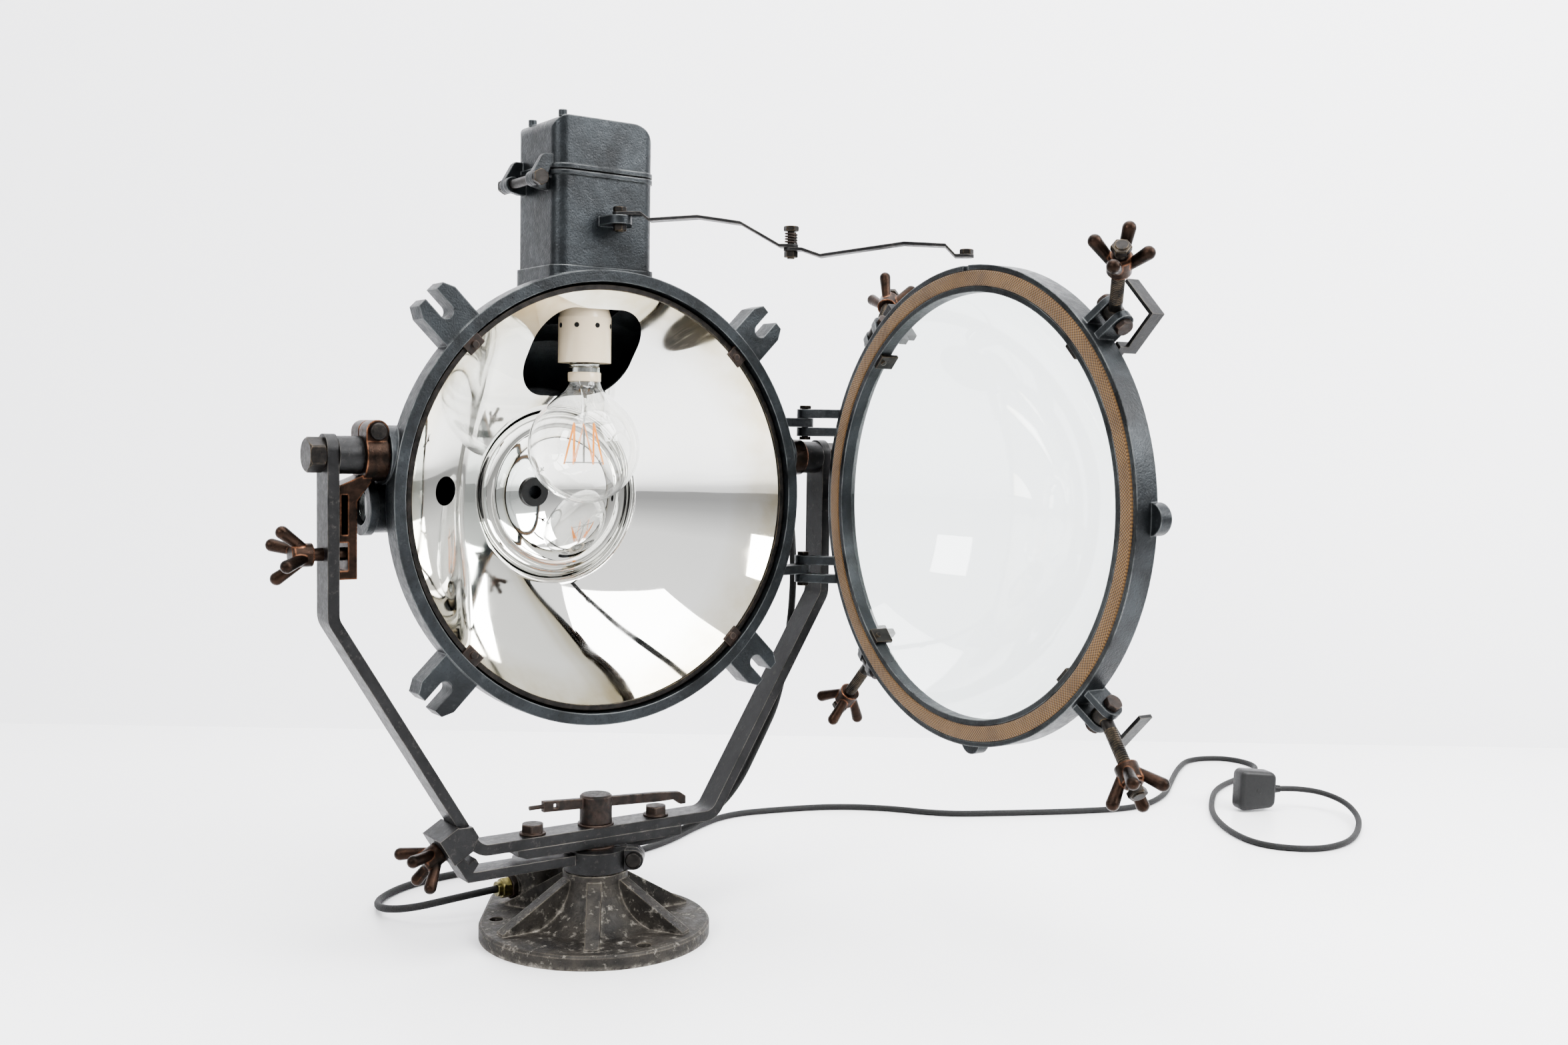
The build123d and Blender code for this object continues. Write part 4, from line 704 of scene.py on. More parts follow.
@dataclass
class Stand:
    """The base with its post and terminal tower, the yoke, its brakes and the pan lock."""

    finishes: Finishes

    def dress(self, nodes: dict[str, bpy.types.Object]) -> None:
        """Gives each CAD node its finish.

        Args:
            nodes: The CAD nodes by name.
        """
        f = self.finishes
        wear(nodes, {
            f.base_iron: ("base_casting",),
            f.bar: ("yoke_bar", "doubler_plate", "terminal_cover", "trunnion_spacers", "pan_brake"),
            f.bronze: ("tilt_brake", "right_bush", "tilt_wing_screw", "pan_wing_screw"),
            f.rust: ("yoke_bolts", "gland_locknut", "pan_post", "pan_lock"),
            f.brass: ("cable_gland",),
            f.black: ("trunnion_bolts", "brake_bolts"),
            f.porcelain: ("terminal_block",)})


@dataclass
class Lead:
    """A round lead that follows a route through given points."""

    name: str
    route_mm: Sequence[tuple[float, float, float]]
    radius_mm: float = 3.25

    def curve(self, finish: bpy.types.Material) -> bpy.types.Object:
        """Makes the lead as one smooth curve through its route.

        Args:
            finish: The lead's material.

        Returns:
            The curve object.
        """
        data = bpy.data.curves.new(self.name, "CURVE")
        data.dimensions = "3D"
        data.bevel_depth = self.radius_mm * MM
        data.bevel_resolution = 4
        data.resolution_u = 8
        data.use_fill_caps = True
        line = data.splines.new("NURBS")
        line.points.add(len(self.route_mm) - 1)
        for point, place in zip(line.points, self.route_mm):
            point.co = (*[c * MM for c in place], 1.0)
        line.order_u = 3
        line.use_endpoint_u = True
        data.materials.append(finish)
        return linked(self.name, data)


@dataclass
class Leads:
    """The mains lead with its plug, and the head's own lead between drum and yoke."""

    finishes: Finishes
    floor_z: float = 3.3
    plug_half: float = 24.0
    plug_depth: float = 46.0
    plug_height: float = 20.0
    plug_waist: float = 0.86
    relief_at: tuple[float, float, float] = (0.0, -32.0, 10.0)
    ribs: int = 5
    pin_foot: float = 19.0
    sleeve_end: float = 30.0
    sleeve_overlap: float = 0.5

    def mains_route(self) -> list[tuple[float, float, float]]:
        """The mains lead from its gland to the plug, in mm."""
        z = self.floor_z
        flat = [(-126, 176), (-84, 205), (-20, 214), (62, 203), (136, 184), (196, 204), (250, 238),
                (310, 266), (376, 252), (434, 232), (480, 194), (516, 140), (570, 110), (650, 70),
                (728, 41), (800, 64), (868, 112), (935, 158), (995, 190), (1047, 165), (1037, 106),
                (968, 82), (890, 60), (828, 18), (772, -30), (730, -88), (714, -140), (748, -182),
                (800, -184), (852, -162)]
        return [(-52.5, 84, 24), (-88.5, 85, 22), (-125, 101, 14), (-140, 136, 7),
                *[(x, y, z) for x, y in flat],
                (898, -132, 8), (924, -92, 16), (910, -54, 23), (876, -41, self.plug_half)]

    def head_route(self) -> list[tuple[float, float, float]]:
        """The head's lead from the drum's gland to the brake collar, in mm."""
        return [(178, 45, 380), (196, 45, 380), (212, 45, 373), (224, 44, 359), (230, 41, 342),
                (223, 27, 292), (215, 20, 250), (204, 20, 182), (182, 20, 143), (155, 20, 98),
                (120, 22, 74), (80, 21, 66), (54, 19, 65), (23, 19, 65)]

    def plug_way(self) -> Callable[[Vector], Vector]:
        """How a point of the plug's own frame lands in the part's frame, in metres."""
        end, before = (Vector(p) * MM for p in (self.mains_route()[-1], self.mains_route()[-2]))
        heading = (end - before).normalized()
        side = heading.cross(Vector((0, 0, 1))).normalized()
        turn = Matrix((heading.cross(side), heading, side)).transposed()
        entry = in_metres(self.relief_at)
        return lambda p: turn @ (p - entry) + end

    def plug_body(self) -> bmesh.types.BMesh:
        """Builds the moulded body, which narrows towards the lead, its ribbed relief and its screw."""
        half, depth, height = self.plug_half, self.plug_depth / 2, self.plug_height
        body = block((-half, -depth, 0), (half, depth, height))
        for vert in body.verts:
            waist = self.plug_waist if vert.co.y < 0 else 1.0
            vert.co.x = math.copysign(half * MM * waist, vert.co.x)
        top, near = height * MM, 1e-6
        round_off(body, 8, 6, lambda e: abs(e.verts[0].co.z - e.verts[1].co.z) > top / 2)
        round_off(body, 5, 4, lambda e: all(v.co.z < near for v in e.verts))
        round_off(body, 1.2, 2, lambda e: all(v.co.z > top - near for v in e.verts))
        outline = [(3.4, 0.0)]
        for k in range(self.ribs):
            foot, grown = 2.0 * k, 0.2 * k
            outline += [(4.1 + grown, foot), (4.1 + grown, foot + 1.2),
                        (3.6 + grown, foot + 1.3), (3.6 + grown, foot + 1.9)]
        outline += [(5.0, 10.5), (0.0, 10.5), (0.0, 0.0)]
        relief = lathe(outline, Axis.Y, self.relief_at, 32, closed=False)
        return merged([body, relief, prism(24, 3.2, -0.4, 0.6, 0.2)])

    def plug(self) -> list[bpy.types.Object]:
        """Builds the plug where it lies.

        Returns:
            The body, the pins and the sleeves of the two flat pins.
        """
        pins, sleeves = [], []
        bare = self.sleeve_end - self.sleeve_overlap
        for x, y, w, d, low, top in ((-11, 4, 6.4, 4, bare, 38), (11, 4, 6.4, 4, bare, 38),
                                     (0, -12, 4, 8, self.pin_foot, 42)):
            bar = block((x - w / 2, y - d / 2, low), (x + w / 2, y + d / 2, top))
            round_off(bar, 0.8, 2, lambda e, z=(top - 1) * MM: all(v.co.z > z for v in e.verts))
            pins.append(bar)
        for x in (-11, 11):
            sleeves.append(block((x - 3.25, 1.95, self.pin_foot), (x + 3.25, 6.05, self.sleeve_end)))
        f, way = self.finishes, self.plug_way()
        return [mesh_object("plug_body", moved(self.plug_body(), way), f.moulding),
                mesh_object("plug_pins", moved(merged(pins), way), f.brass),
                mesh_object("plug_pin_sleeves", moved(merged(sleeves), way), f.moulding)]

    def build(self) -> list[bpy.types.Object]:
        """Builds both leads and the plug, and rides the mains lead and the plug on the base."""
        mains = Lead("mains_lead_braided", self.mains_route()).curve(self.finishes.braid)
        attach(mains, "base")
        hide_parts("mains_lead")
        plug = self.plug()
        for piece in plug:
            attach(piece, "base")
        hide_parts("plug")
        held = Lead("head_lead_line", self.head_route()).curve(self.finishes.braid)
        head = mesh_object("head_lead_braided", evaluated_mesh(held), self.finishes.braid)
        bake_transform(head)
        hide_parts("head_lead")
        return [mains, *plug, head]


@dataclass
class Mirror:
    """The reflector: a shallow dish, a deep middle bowl, the lamp's window and two round holes."""

    finishes: Finishes
    edge_r: float = 173.5
    bowl_r: float = 75.0
    vertex: float = 96.0
    curve: float = 0.003748
    bowl_back: float = 123.0
    lip_out: float = 3.5
    lip_in: float = 1.2
    wall: float = 2.5
    window: tuple[float, float, float, float] = (50.0, 86.0, 158.0, 30.0)
    side_hole: tuple[float, float, float] = (12.0, 43.0, 5.0)
    hub_r: float = 10.0
    steps: int = 360
    dish_rings: int = 64
    bowl_rings: int = 40
    lip_rings: int = 8

    def depth(self, r: float) -> float:
        """Y of the front face at a radius."""
        return self.vertex - self.curve * r * r

    def radii(self) -> list[tuple[float, float]]:
        """(radius, Y) of the front face, from the edge over the rounded lip to the hub hole."""
        reach = self.bowl_r + self.lip_out - self.edge_r
        dish = [(r, self.depth(r)) for r in (self.edge_r + reach * k / self.dish_rings
                                             for k in range(self.dish_rings + 1))]
        lip_y = self.depth(self.bowl_r)
        drop = self.bowl_back - lip_y
        first = math.acos(min(1.0, (self.bowl_r - self.lip_in) / self.bowl_r))
        last = math.acos(self.hub_r / self.bowl_r)
        bowl = [(self.bowl_r * math.cos(a), lip_y + drop * math.sin(a))
                for a in (first + (last - first) * k / self.bowl_rings for k in range(self.bowl_rings + 1))]
        (r0, y0), (r2, y2), (r1, y1) = dish[-1], bowl[0], (self.bowl_r, lip_y)
        bend = [(r0 * (1 - t) ** 2 + 2 * r1 * t * (1 - t) + r2 * t * t,
                 y0 * (1 - t) ** 2 + 2 * y1 * t * (1 - t) + y2 * t * t)
                for t in (k / self.lip_rings for k in range(1, self.lip_rings))]
        return dish + bend + bowl

    def in_window(self, x: float, z: float) -> tuple[float, float] | None:
        """Gives the nearest point of the window's outline for a point in the window, else None."""
        half, z0, z1, corner = self.window
        middle = (z0 + z1) / 2
        ax, az = abs(x), abs(z - middle)
        bx, bz = half - corner, (z1 - z0) / 2 - corner
        dx, dz = ax - bx, az - bz
        if dx > 0 and dz > 0:
            far = math.hypot(dx, dz)
            if far >= corner:
                return None
            ax, az = bx + dx * corner / far, bz + dz * corner / far
        elif ax >= half or az >= bz + corner:
            return None
        elif half - ax < bz + corner - az:
            ax = half
        else:
            az = bz + corner
        return math.copysign(ax, x), middle + math.copysign(az, z - middle)

    def on_side_hole(self, x: float, y: float, z: float) -> Vector | None:
        """Gives the point of the side hole's outline for a point in that hole, and otherwise None."""
        hole_r, hole_y, hole_z = self.side_hole
        far = math.hypot(y - hole_y, z - hole_z)
        if x >= 0 or far >= hole_r or math.hypot(x, z) <= self.bowl_r:
            return None
        grow = hole_r / max(far, 1e-6)
        y2, z2 = hole_y + (y - hole_y) * grow, hole_z + (z - hole_z) * grow
        r2 = math.sqrt((self.vertex - y2) / self.curve)
        return Vector((-math.sqrt(r2 * r2 - z2 * z2), y2, z2))

    def sheet(self) -> bmesh.types.BMesh:
        """Builds the front face as one sheet in mm round the drum's axis, with its holes cut."""
        sheet = bmesh.new()
        turns = [2 * math.pi * k / self.steps for k in range(self.steps)]
        rings = [[sheet.verts.new((r * math.cos(a), y, r * math.sin(a))) for a in turns]
                 for r, y in self.radii()]
        for outer, inner in zip(rings, rings[1:]):
            for k in range(self.steps):
                n = (k + 1) % self.steps
                sheet.faces.new([outer[k], outer[n], inner[n], inner[k]])
        target: dict[bmesh.types.BMVert, Vector] = {}
        for vert in sheet.verts:
            found = self.in_window(vert.co.x, vert.co.z)
            edge = self.on_side_hole(*vert.co)
            if found:
                target[vert] = Vector((found[0], self.depth(math.hypot(*found)), found[1]))
            elif edge:
                target[vert] = edge
        gone = [face for face in sheet.faces if all(v in target for v in face.verts)]
        bmesh.ops.delete(sheet, geom=gone, context="FACES")
        for vert in sheet.verts:
            if vert in target:
                vert.co = target[vert]
        return sheet

    def build(self) -> list[bpy.types.Object]:
        """Builds the mirror from its front face, with holes on the exact outlines and a wall behind."""
        sheet = moved(self.sheet(), lambda p: in_metres((p.x, p.y, p.z + DRUM_Z)))
        bmesh.ops.remove_doubles(sheet, verts=sheet.verts, dist=1e-6)
        shell = mesh_object("reflector_mirror", sheet, self.finishes.mirror, 40.0)
        if sum(p.normal.y * p.area for p in shell.data.polygons) > 0:
            shell.data.flip_normals()
        wall = shell.modifiers.new("wall", "SOLIDIFY")
        wall.thickness = self.wall * MM
        wall.offset = -1.0
        made = mesh_object("reflector_mirror", evaluated_mesh(shell), self.finishes.mirror, 40.0)
        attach(made, "head")
        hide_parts("reflector")
        return [made]


@dataclass
class Lamp:
    """The bulb in its porcelain holder."""

    finishes: Finishes
    lamp_y: float = 27.0
    globe_z: float = 412.6
    globe_r: float = 47.5
    neck_r: float = 13.3
    neck_z: float = 476.0
    glass_t: float = 1.0
    stem_z: float = 438.0
    upper: tuple[float, float] = (9.5, 433.5)
    lower: tuple[float, float] = (16.5, 399.0)
    stick_r: float = 0.8
    stick_count: int = 12
    vent_count: int = 8
    vent_r: float = 2.1
    vent_wall_r: float = 22.52
    vent_z: float = 515.5

    def outline(self, shrink: float) -> list[tuple[float, float]]:
        """(radius, height over the globe's middle) of the globe and its neck, made smaller all round."""
        r = self.globe_r - shrink
        ball = arc((0.0, 0.0), r, -90, 45, 40)
        ball[0] = (0.0, -r)
        (r0, z0), (r3, z3) = ball[-1], (self.neck_r - shrink, self.neck_z - self.globe_z - 3)
        (r1, z1), (r2, z2) = (r0 - 13, z0 + 13), (r3, z3 - 12)
        neck = []
        steps = 14
        for t in (k / steps for k in range(1, steps + 1)):
            a, b, c, d = (1 - t) ** 3, 3 * t * (1 - t) ** 2, 3 * t * t * (1 - t), t ** 3
            neck.append((a * r0 + b * r1 + c * r2 + d * r3, a * z0 + b * z1 + c * z2 + d * z3))
        return [*ball, *neck, (r3, self.neck_z - self.globe_z)]

    def globe(self) -> bmesh.types.BMesh:
        """Turns the blown globe with its wall."""
        section = [*self.outline(0), *reversed(self.outline(self.glass_t))]
        return lathe(section, Axis.Z, (0.0, self.lamp_y, self.globe_z), 96, closed=False)

    def stem(self) -> bmesh.types.BMesh:
        """Turns the glass stem that carries the support wires."""
        section = [(0, 0), (3.0, 0), (3.6, 2), (2.2, 8), (2.4, 20), (4.5, 30), (9.5, 37.5),
                   (9.5, 38.5), (0, 38.5)]
        return lathe(section, Axis.Z, (0.0, self.lamp_y, self.stem_z), 32, closed=False)

    def collar(self) -> bmesh.types.BMesh:
        """Turns the pale collar between the glass and the screw cap."""
        section = [(13.35, 468.5), (14.0, 469.2), (14.2, 475.8), (13.7, 476.6), (13.35, 476.6)]
        return lathe(section, Axis.Z, (0, self.lamp_y, 0), 64)

    def build(self) -> list[bpy.types.Object]:
        """Builds the globe, stem, sticks, support wires, screw cap, collar and the painted shade discs on
        the holder's vent holes.
        """
        f = self.finishes
        globe = mesh_object("bulb_globe", self.globe(), f.blown, 60.0)
        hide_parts("bulb_glass")
        stem = mesh_object("bulb_stem", self.stem(), f.blown, 60.0)
        sticks = self.sticks()
        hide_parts("bulb_filament")
        wires = mesh_object("bulb_wires", self.wires(), f.plated)
        cap = mesh_object("bulb_cap_thread", self.cap(), f.plated)
        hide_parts("bulb_base")
        collar = mesh_object("bulb_collar", self.collar(), f.porcelain)
        # Flat dark discs: painted shade in the holder's vent holes.
        vent_shade_discs = self.vent_shade_discs()
        made = [globe, stem, sticks, wires, cap, collar, vent_shade_discs]
        for piece in made:
            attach(piece, "head")
        return made

    def sticks(self) -> bpy.types.Object:
        """Grows the coated sticks: a zigzag ring of slim rods between an upper and a lower circle."""
        grow = GrowTree("filament_zigzag", {
            "corners": self.stick_count, "upper_r": self.upper[0] * MM, "lower_r": self.lower[0] * MM,
            "upper_z": self.upper[1] * MM, "lower_z": self.lower[1] * MM,
            "stick_r": self.stick_r * MM, "lamp_y": self.lamp_y * MM})
        size = grow.size
        ring = grow.node("GeometryNodeCurvePrimitiveCircle", {"Radius": 1.0},
                         {"Resolution": size["corners"]})
        index = grow.node("GeometryNodeInputIndex")
        odd = grow.node("ShaderNodeMath", {"operation": "MODULO", 1: 2.0}, {0: index})
        wide, high = (grow.node("ShaderNodeMix", links={0: odd, NUMBER_A: size["upper_" + which],
                                                        NUMBER_B: size["lower_" + which]})
                      for which in ("r", "z"))
        place = grow.node("GeometryNodeInputPosition")
        spread = grow.node("ShaderNodeVectorMath", {"operation": "SCALE"}, {0: place, "Scale": wide})
        lift = grow.node("ShaderNodeCombineXYZ", links={"Y": size["lamp_y"], "Z": high})
        landed = grow.node("ShaderNodeVectorMath", {"operation": "ADD"}, {0: spread, 1: lift})
        line = grow.node("GeometryNodeSetPosition", links={"Geometry": ring, "Position": landed})
        section = grow.node("GeometryNodeCurvePrimitiveCircle", {"Resolution": 8},
                            {"Radius": size["stick_r"]})
        rods = grow.node("GeometryNodeCurveToMesh", links={"Curve": line, "Profile Curve": section})
        return grow.grow("bulb_sticks", rods, self.finishes.glow)

    def wires(self) -> bmesh.types.BMesh:
        """Builds the centre wire and the six upper and six lower support wires."""
        pieces = [prism(10, 0.9, 399.5, 440, 0.2)]
        level = Matrix.Rotation(math.radians(90), 3, "Y")
        for k in range(6):
            for sixths, reach, z in ((k, 9.6, 433.5), (k + 0.5, 16.6, 400.0)):
                turn = Matrix.Rotation(math.pi * sixths / 3, 3, "Z") @ level
                rise = Vector((0, 0, z * MM))
                spoke = prism(8, 0.45, 0, reach, 0.1)
                pieces.append(moved(spoke, lambda p, t=turn, r=rise: t @ p + r))
        return moved(merged(pieces), lambda p: p + Vector((0, self.lamp_y * MM, 0)))

    def cap(self) -> bmesh.types.BMesh:
        """Builds the screw cap: a skirt, a coarse rolled thread and the contact at its end."""
        skirt = prism(48, 13.3, 475.4, 481, 0.5)
        thread = threaded(13.3, 1.1, 3.6, 480.5, 496.5, 48)
        shoulder = lathe([(0, 496.3), (12.2, 496.3), (8, 500), (5, 500.6), (5, 503), (0, 503)], Axis.Z,
                         (0, 0, 0), 32, closed=False)
        return moved(merged([skirt, thread, shoulder]), lambda p: p + Vector((0, self.lamp_y * MM, 0)))

    def vent_shade_discs(self) -> bpy.types.Object:
        """Grows the ring of vent holes round the holder: flat dark discs on its wall, painted shade that
        stands in for the dark inside of each hole.
        """
        grow = GrowTree("holder_vent_shade_discs", {
            "count": self.vent_count, "wall_r": self.vent_wall_r * MM, "hole_r": self.vent_r * MM,
            "row_z": self.vent_z * MM, "lamp_y": self.lamp_y * MM})
        size = grow.size
        ring = grow.node("GeometryNodeMeshCircle", links={"Vertices": size["count"],
                                                          "Radius": size["wall_r"]})
        disc = grow.node("GeometryNodeMeshCylinder", {"Vertices": 20, "Depth": 0.4 * MM},
                         {"Radius": size["hole_r"]})
        lain = grow.node("GeometryNodeTransform", {"Rotation": (0, math.radians(90), 0)},
                         {"Geometry": disc})
        place = grow.node("GeometryNodeInputPosition")
        facing = grow.node("FunctionNodeAlignRotationToVector", {"axis": "X"}, {"Vector": place})
        spots = grow.node("GeometryNodeInstanceOnPoints",
                          links={"Points": ring, "Instance": lain, "Rotation": facing})
        lift = grow.node("ShaderNodeCombineXYZ", links={"Y": size["lamp_y"], "Z": size["row_z"]})
        put = grow.node("GeometryNodeTransform", links={"Geometry": spots, "Translation": lift})
        # The discs are black: painted shade in the vent holes.
        return grow.grow("holder_vent_shade_discs", put, self.finishes.dark)

    def dress(self, nodes: dict[str, bpy.types.Object]) -> None:
        """Gives the holder and its hanger their finishes."""
        wear(nodes, {self.finishes.porcelain: ("lamp_holder",), self.finishes.black: ("holder_bridge",)})


@dataclass
class Head:
    """The drum, its covers, the lamp box and the sight port."""

    finishes: Finishes
    gasket_z: tuple[float, float] = (638.8, 639.7)
    gasket_inset: tuple[float, float] = (0.3, 4.7)
    box: tuple[float, float, float, float] = (46.0, -10.0, 66.0, 11.0)
    port: tuple[float, float, float] = (-191.1, 20.0, 366.0)

    def lid_gasket(self) -> bpy.types.Object:
        """Builds the rubber strip under the lid: a rounded frame with soft edges."""
        half, y0, y1, corner = self.box
        low, high = self.gasket_z
        near, far = self.gasket_inset
        strip = bmesh.new()
        loops = []
        for inset, z in ((near + 0.5, low), (near, low + 0.25), (near, high - 0.25), (near + 0.5, high),
                         (far - 0.5, high), (far, high - 0.25), (far, low + 0.25), (far - 0.5, low)):
            w, a, b, c = half - inset, y0 + inset, y1 - inset, corner - inset
            middles = ((w - c, b - c), (c - w, b - c), (c - w, a + c), (w - c, a + c))
            outline = [p for k, at in enumerate(middles) for p in arc(at, c, 90 * k, 90 * k + 90, 10)]
            loops.append([strip.verts.new((x * MM, y * MM, z * MM)) for x, y in outline])
        for one, other in zip(loops, loops[1:] + loops[:1]):
            for k in range(len(one)):
                n = (k + 1) % len(one)
                strip.faces.new([one[k], one[n], other[n], other[k]])
        made = mesh_object("lid_gasket_strip", strip, self.finishes.moulding)
        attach(made, "head")
        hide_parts("lid_gasket")
        return made

    def sight_window(self) -> bpy.types.Object:
        """Builds the round window of the side port with ground edges."""
        section = [(0, 0), (17.2, 0), (17.8, 0.5), (17.8, 2.3), (17.2, 2.8), (0, 2.8)]
        disc = lathe(section, Axis.Z, (0, 0, 0), 64, closed=False)
        x, y, z = (c * MM for c in self.port)
        turned = moved(disc, lambda p: Vector((x - p.z, y + p.x, z + p.y)))
        made = mesh_object("sight_window", turned, self.finishes.dome, 60.0)
        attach(made, "head")
        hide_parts("sight_glass")
        return made

    def build(self) -> list[bpy.types.Object]:
        """Builds the gasket strip and the sight window."""
        return [self.lid_gasket(), self.sight_window()]

    def dress(self, nodes: dict[str, bpy.types.Object]) -> None:
        """Gives the head's CAD nodes their finishes."""
        f = self.finishes
        wear(nodes, {
            f.cast: ("drum_casting", "back_cover", "lamp_box", "box_lid", "sight_bezel"),
            f.black: ("hinge_pins", "lid_pin", "stay_bolt_box", "reflector_ring"),
            f.rust: ("reflector_clips",), f.brass: ("head_gland",), f.moulding: ("reflector_grommet",)})


@dataclass
class Door:
    """The glazed door on its hinges, with its packing, dome, clips and guards."""

    finishes: Finishes
    centre: tuple[float, float, float] = (0.0, 0.0, DRUM_Z)
    packing: tuple[float, float, float, float] = (176.3, 188.7, -30.0, -25.35)
    packing_soft: float = 1.4
    packing_sink: float = 0.35
    ball: float = 203.0
    rim_r: float = 180.0
    rim_y: float = -37.6
    glass_t: float = 4.0

    def gasket(self) -> bpy.types.Object:
        """Builds the canvas packing: a padded ring with rounded, slightly uneven edges."""
        r0, r1, y0, y1 = self.packing
        soft = self.packing_soft
        section = [(r0, y0), (r0, y1 - soft), *arc((r0 + soft, y1 - soft), soft, 180, 90, 5)[1:],
                   ((r0 + r1) / 2, y1), *arc((r1 - soft, y1 - soft), soft, 90, 0, 5), (r1, y0)]

        def uneven(r: float, angle: float, y: float) -> float:
            """Sinks the top of the packing a little, differently round the ring."""
            if y < y1 - soft:
                return 0.0
            at = Vector((math.cos(angle), math.sin(angle), r * 0.02))
            return -self.packing_sink * (0.5 + 0.5 * noise.noise(at * 14))

        ring = moved(lathe(section, Axis.Y, self.centre, 360, wobble=uneven), opened)
        made = mesh_object("door_packing", ring, self.finishes.canvas, 60.0)
        self.map_cloth(made.data)
        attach(made, "door")
        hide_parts("door_gasket")
        return made

    def map_cloth(self, packing: bpy.types.Mesh) -> None:
        """Lays the cloth's own map, in mm, round the packing: along it and over its section."""
        middle = (self.packing[0] + self.packing[1]) / 2
        cloth = packing.uv_layers.new(name="cloth_mm")
        for polygon in packing.polygons:
            angles = []
            for loop in polygon.loop_indices:
                p = shut(packing.vertices[packing.loops[loop].vertex_index].co)
                rise = p.z - DRUM_Z * MM
                angle = math.atan2(rise, p.x)
                if angles and angle - angles[0] > math.pi:
                    angle -= 2 * math.pi
                elif angles and angles[0] - angle > math.pi:
                    angle += 2 * math.pi
                angles.append(angle)
                cloth.data[loop].uv = (angle * middle, math.hypot(p.x, rise) / MM + p.y / MM)

    def dome(self) -> bpy.types.Object:
        """Builds the domed glass as one thick shell with a ground edge."""
        middle = math.sqrt(self.ball ** 2 - self.rim_r ** 2)
        ball_y = self.rim_y + middle
        inner_r = self.ball - self.glass_t
        outer, inner = (math.degrees(math.acos(middle / r)) for r in (self.ball, inner_r))
        front = [(r, ball_y - y) for y, r in arc((0, 0), self.ball, 0, outer, 72)]
        back = [(r, ball_y - y) for y, r in arc((0, 0), inner_r, inner, 0, 72)]
        front[0], back[-1] = (0.0, front[0][1]), (0.0, back[-1][1])
        shell = moved(lathe([*front, *back], Axis.Y, self.centre, 192, closed=False), opened)
        made = mesh_object("door_dome", shell, self.finishes.dome, 40.0)
        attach(made, "door")
        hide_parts("door_glass")
        return made

    def build(self) -> list[bpy.types.Object]:
        """Builds the packing and the dome."""
        return [self.gasket(), self.dome()]

    def dress(self, nodes: dict[str, bpy.types.Object]) -> None:
        """Gives the door's CAD nodes their finishes."""
        f = self.finishes
        wear(nodes, {f.cast: ("door_ring",), f.bar: ("bolt_guards",), f.black: ("glass_clips",),
                     f.rust: ("swing_pins",)})


@dataclass
class SwingBolts:
    """The four eye bolts of the door with real threads, and their wing nuts."""

    finishes: Finishes
    circle: float = 207.0
    pivot_y: float = -45.0
    length: float = 72.0
    shank_r: float = 5.0
    leans: tuple[tuple[str, int, int, float], ...] = (("ur", -1, 1, 31.7), ("lr", -1, -1, 10.0),
                                                      ("ul", 1, 1, -38.0), ("ll", 1, -1, 0.0))

    def frame(self, sx: int, sz: int, lean: float) -> Matrix:
        """The frame of one bolt on the closed door, in metres.

        Args:
            sx: Which way it lies along X.
            sz: Which way it lies along Z.
            lean: How far it leans towards the drum, in degrees.

        Returns:
            A matrix whose Z runs along the bolt and whose X is its pivot.
        """
        outward = Vector((sx, 0, sz)).normalized()
        a = math.radians(lean)
        way = outward * math.cos(a) + Vector((0, 1, 0)) * math.sin(a)
        across = outward.cross(Vector((0, 1, 0)))
        made = Matrix((across, way.cross(across), way)).transposed().to_4x4()
        made.translation = (Vector((0, self.pivot_y, DRUM_Z)) + outward * self.circle) * MM
        return made

    def bolt(self) -> bmesh.types.BMesh:
        """Builds an eye bolt along Z: eye, plain neck, thread and end nut."""
        ring = [(4.05, -5.1), (7.2, -5.1), (8.0, -4.3), (8.0, 4.3), (7.2, 5.1), (4.05, 5.1)]
        eye = moved(lathe(ring, Axis.Z, (0, 0, 0), 40), lambda p: Vector((p.z, p.x, p.y)))
        r = self.shank_r
        neck = lathe([(0, 5.6), (r, 5.6), (r, 15.2), (r - 0.5, 15.8), (0, 15.8)], Axis.Z, (0, 0, 0), 28,
                     closed=False)
        thread = threaded(r, 0.75, 1.9, 15.5, self.length)
        nut = prism(6, 7.5, self.length - 6, self.length - 1, 0.7)
        return merged([eye, neck, thread, nut])

    def build(self) -> list[bpy.types.Object]:
        """Builds the four bolts, each on its own body."""
        made = []
        for key, sx, sz, lean in self.leans:
            frame = self.frame(sx, sz, lean)
            bolt = moved(self.bolt(), lambda p, m=frame: opened(m @ p))
            piece = mesh_object(f"swing_bolt_{key}_threaded", bolt, self.finishes.black)
            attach(piece, f"swing_{key}")
            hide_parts(f"swing_bolt_{key}")
            made.append(piece)
        return made

    def dress(self, nodes: dict[str, bpy.types.Object]) -> None:
        """Gives the wing nuts their bronze."""
        wear(nodes, {self.finishes.bronze: [f"wing_nut_{key}" for key, *_ in self.leans]})


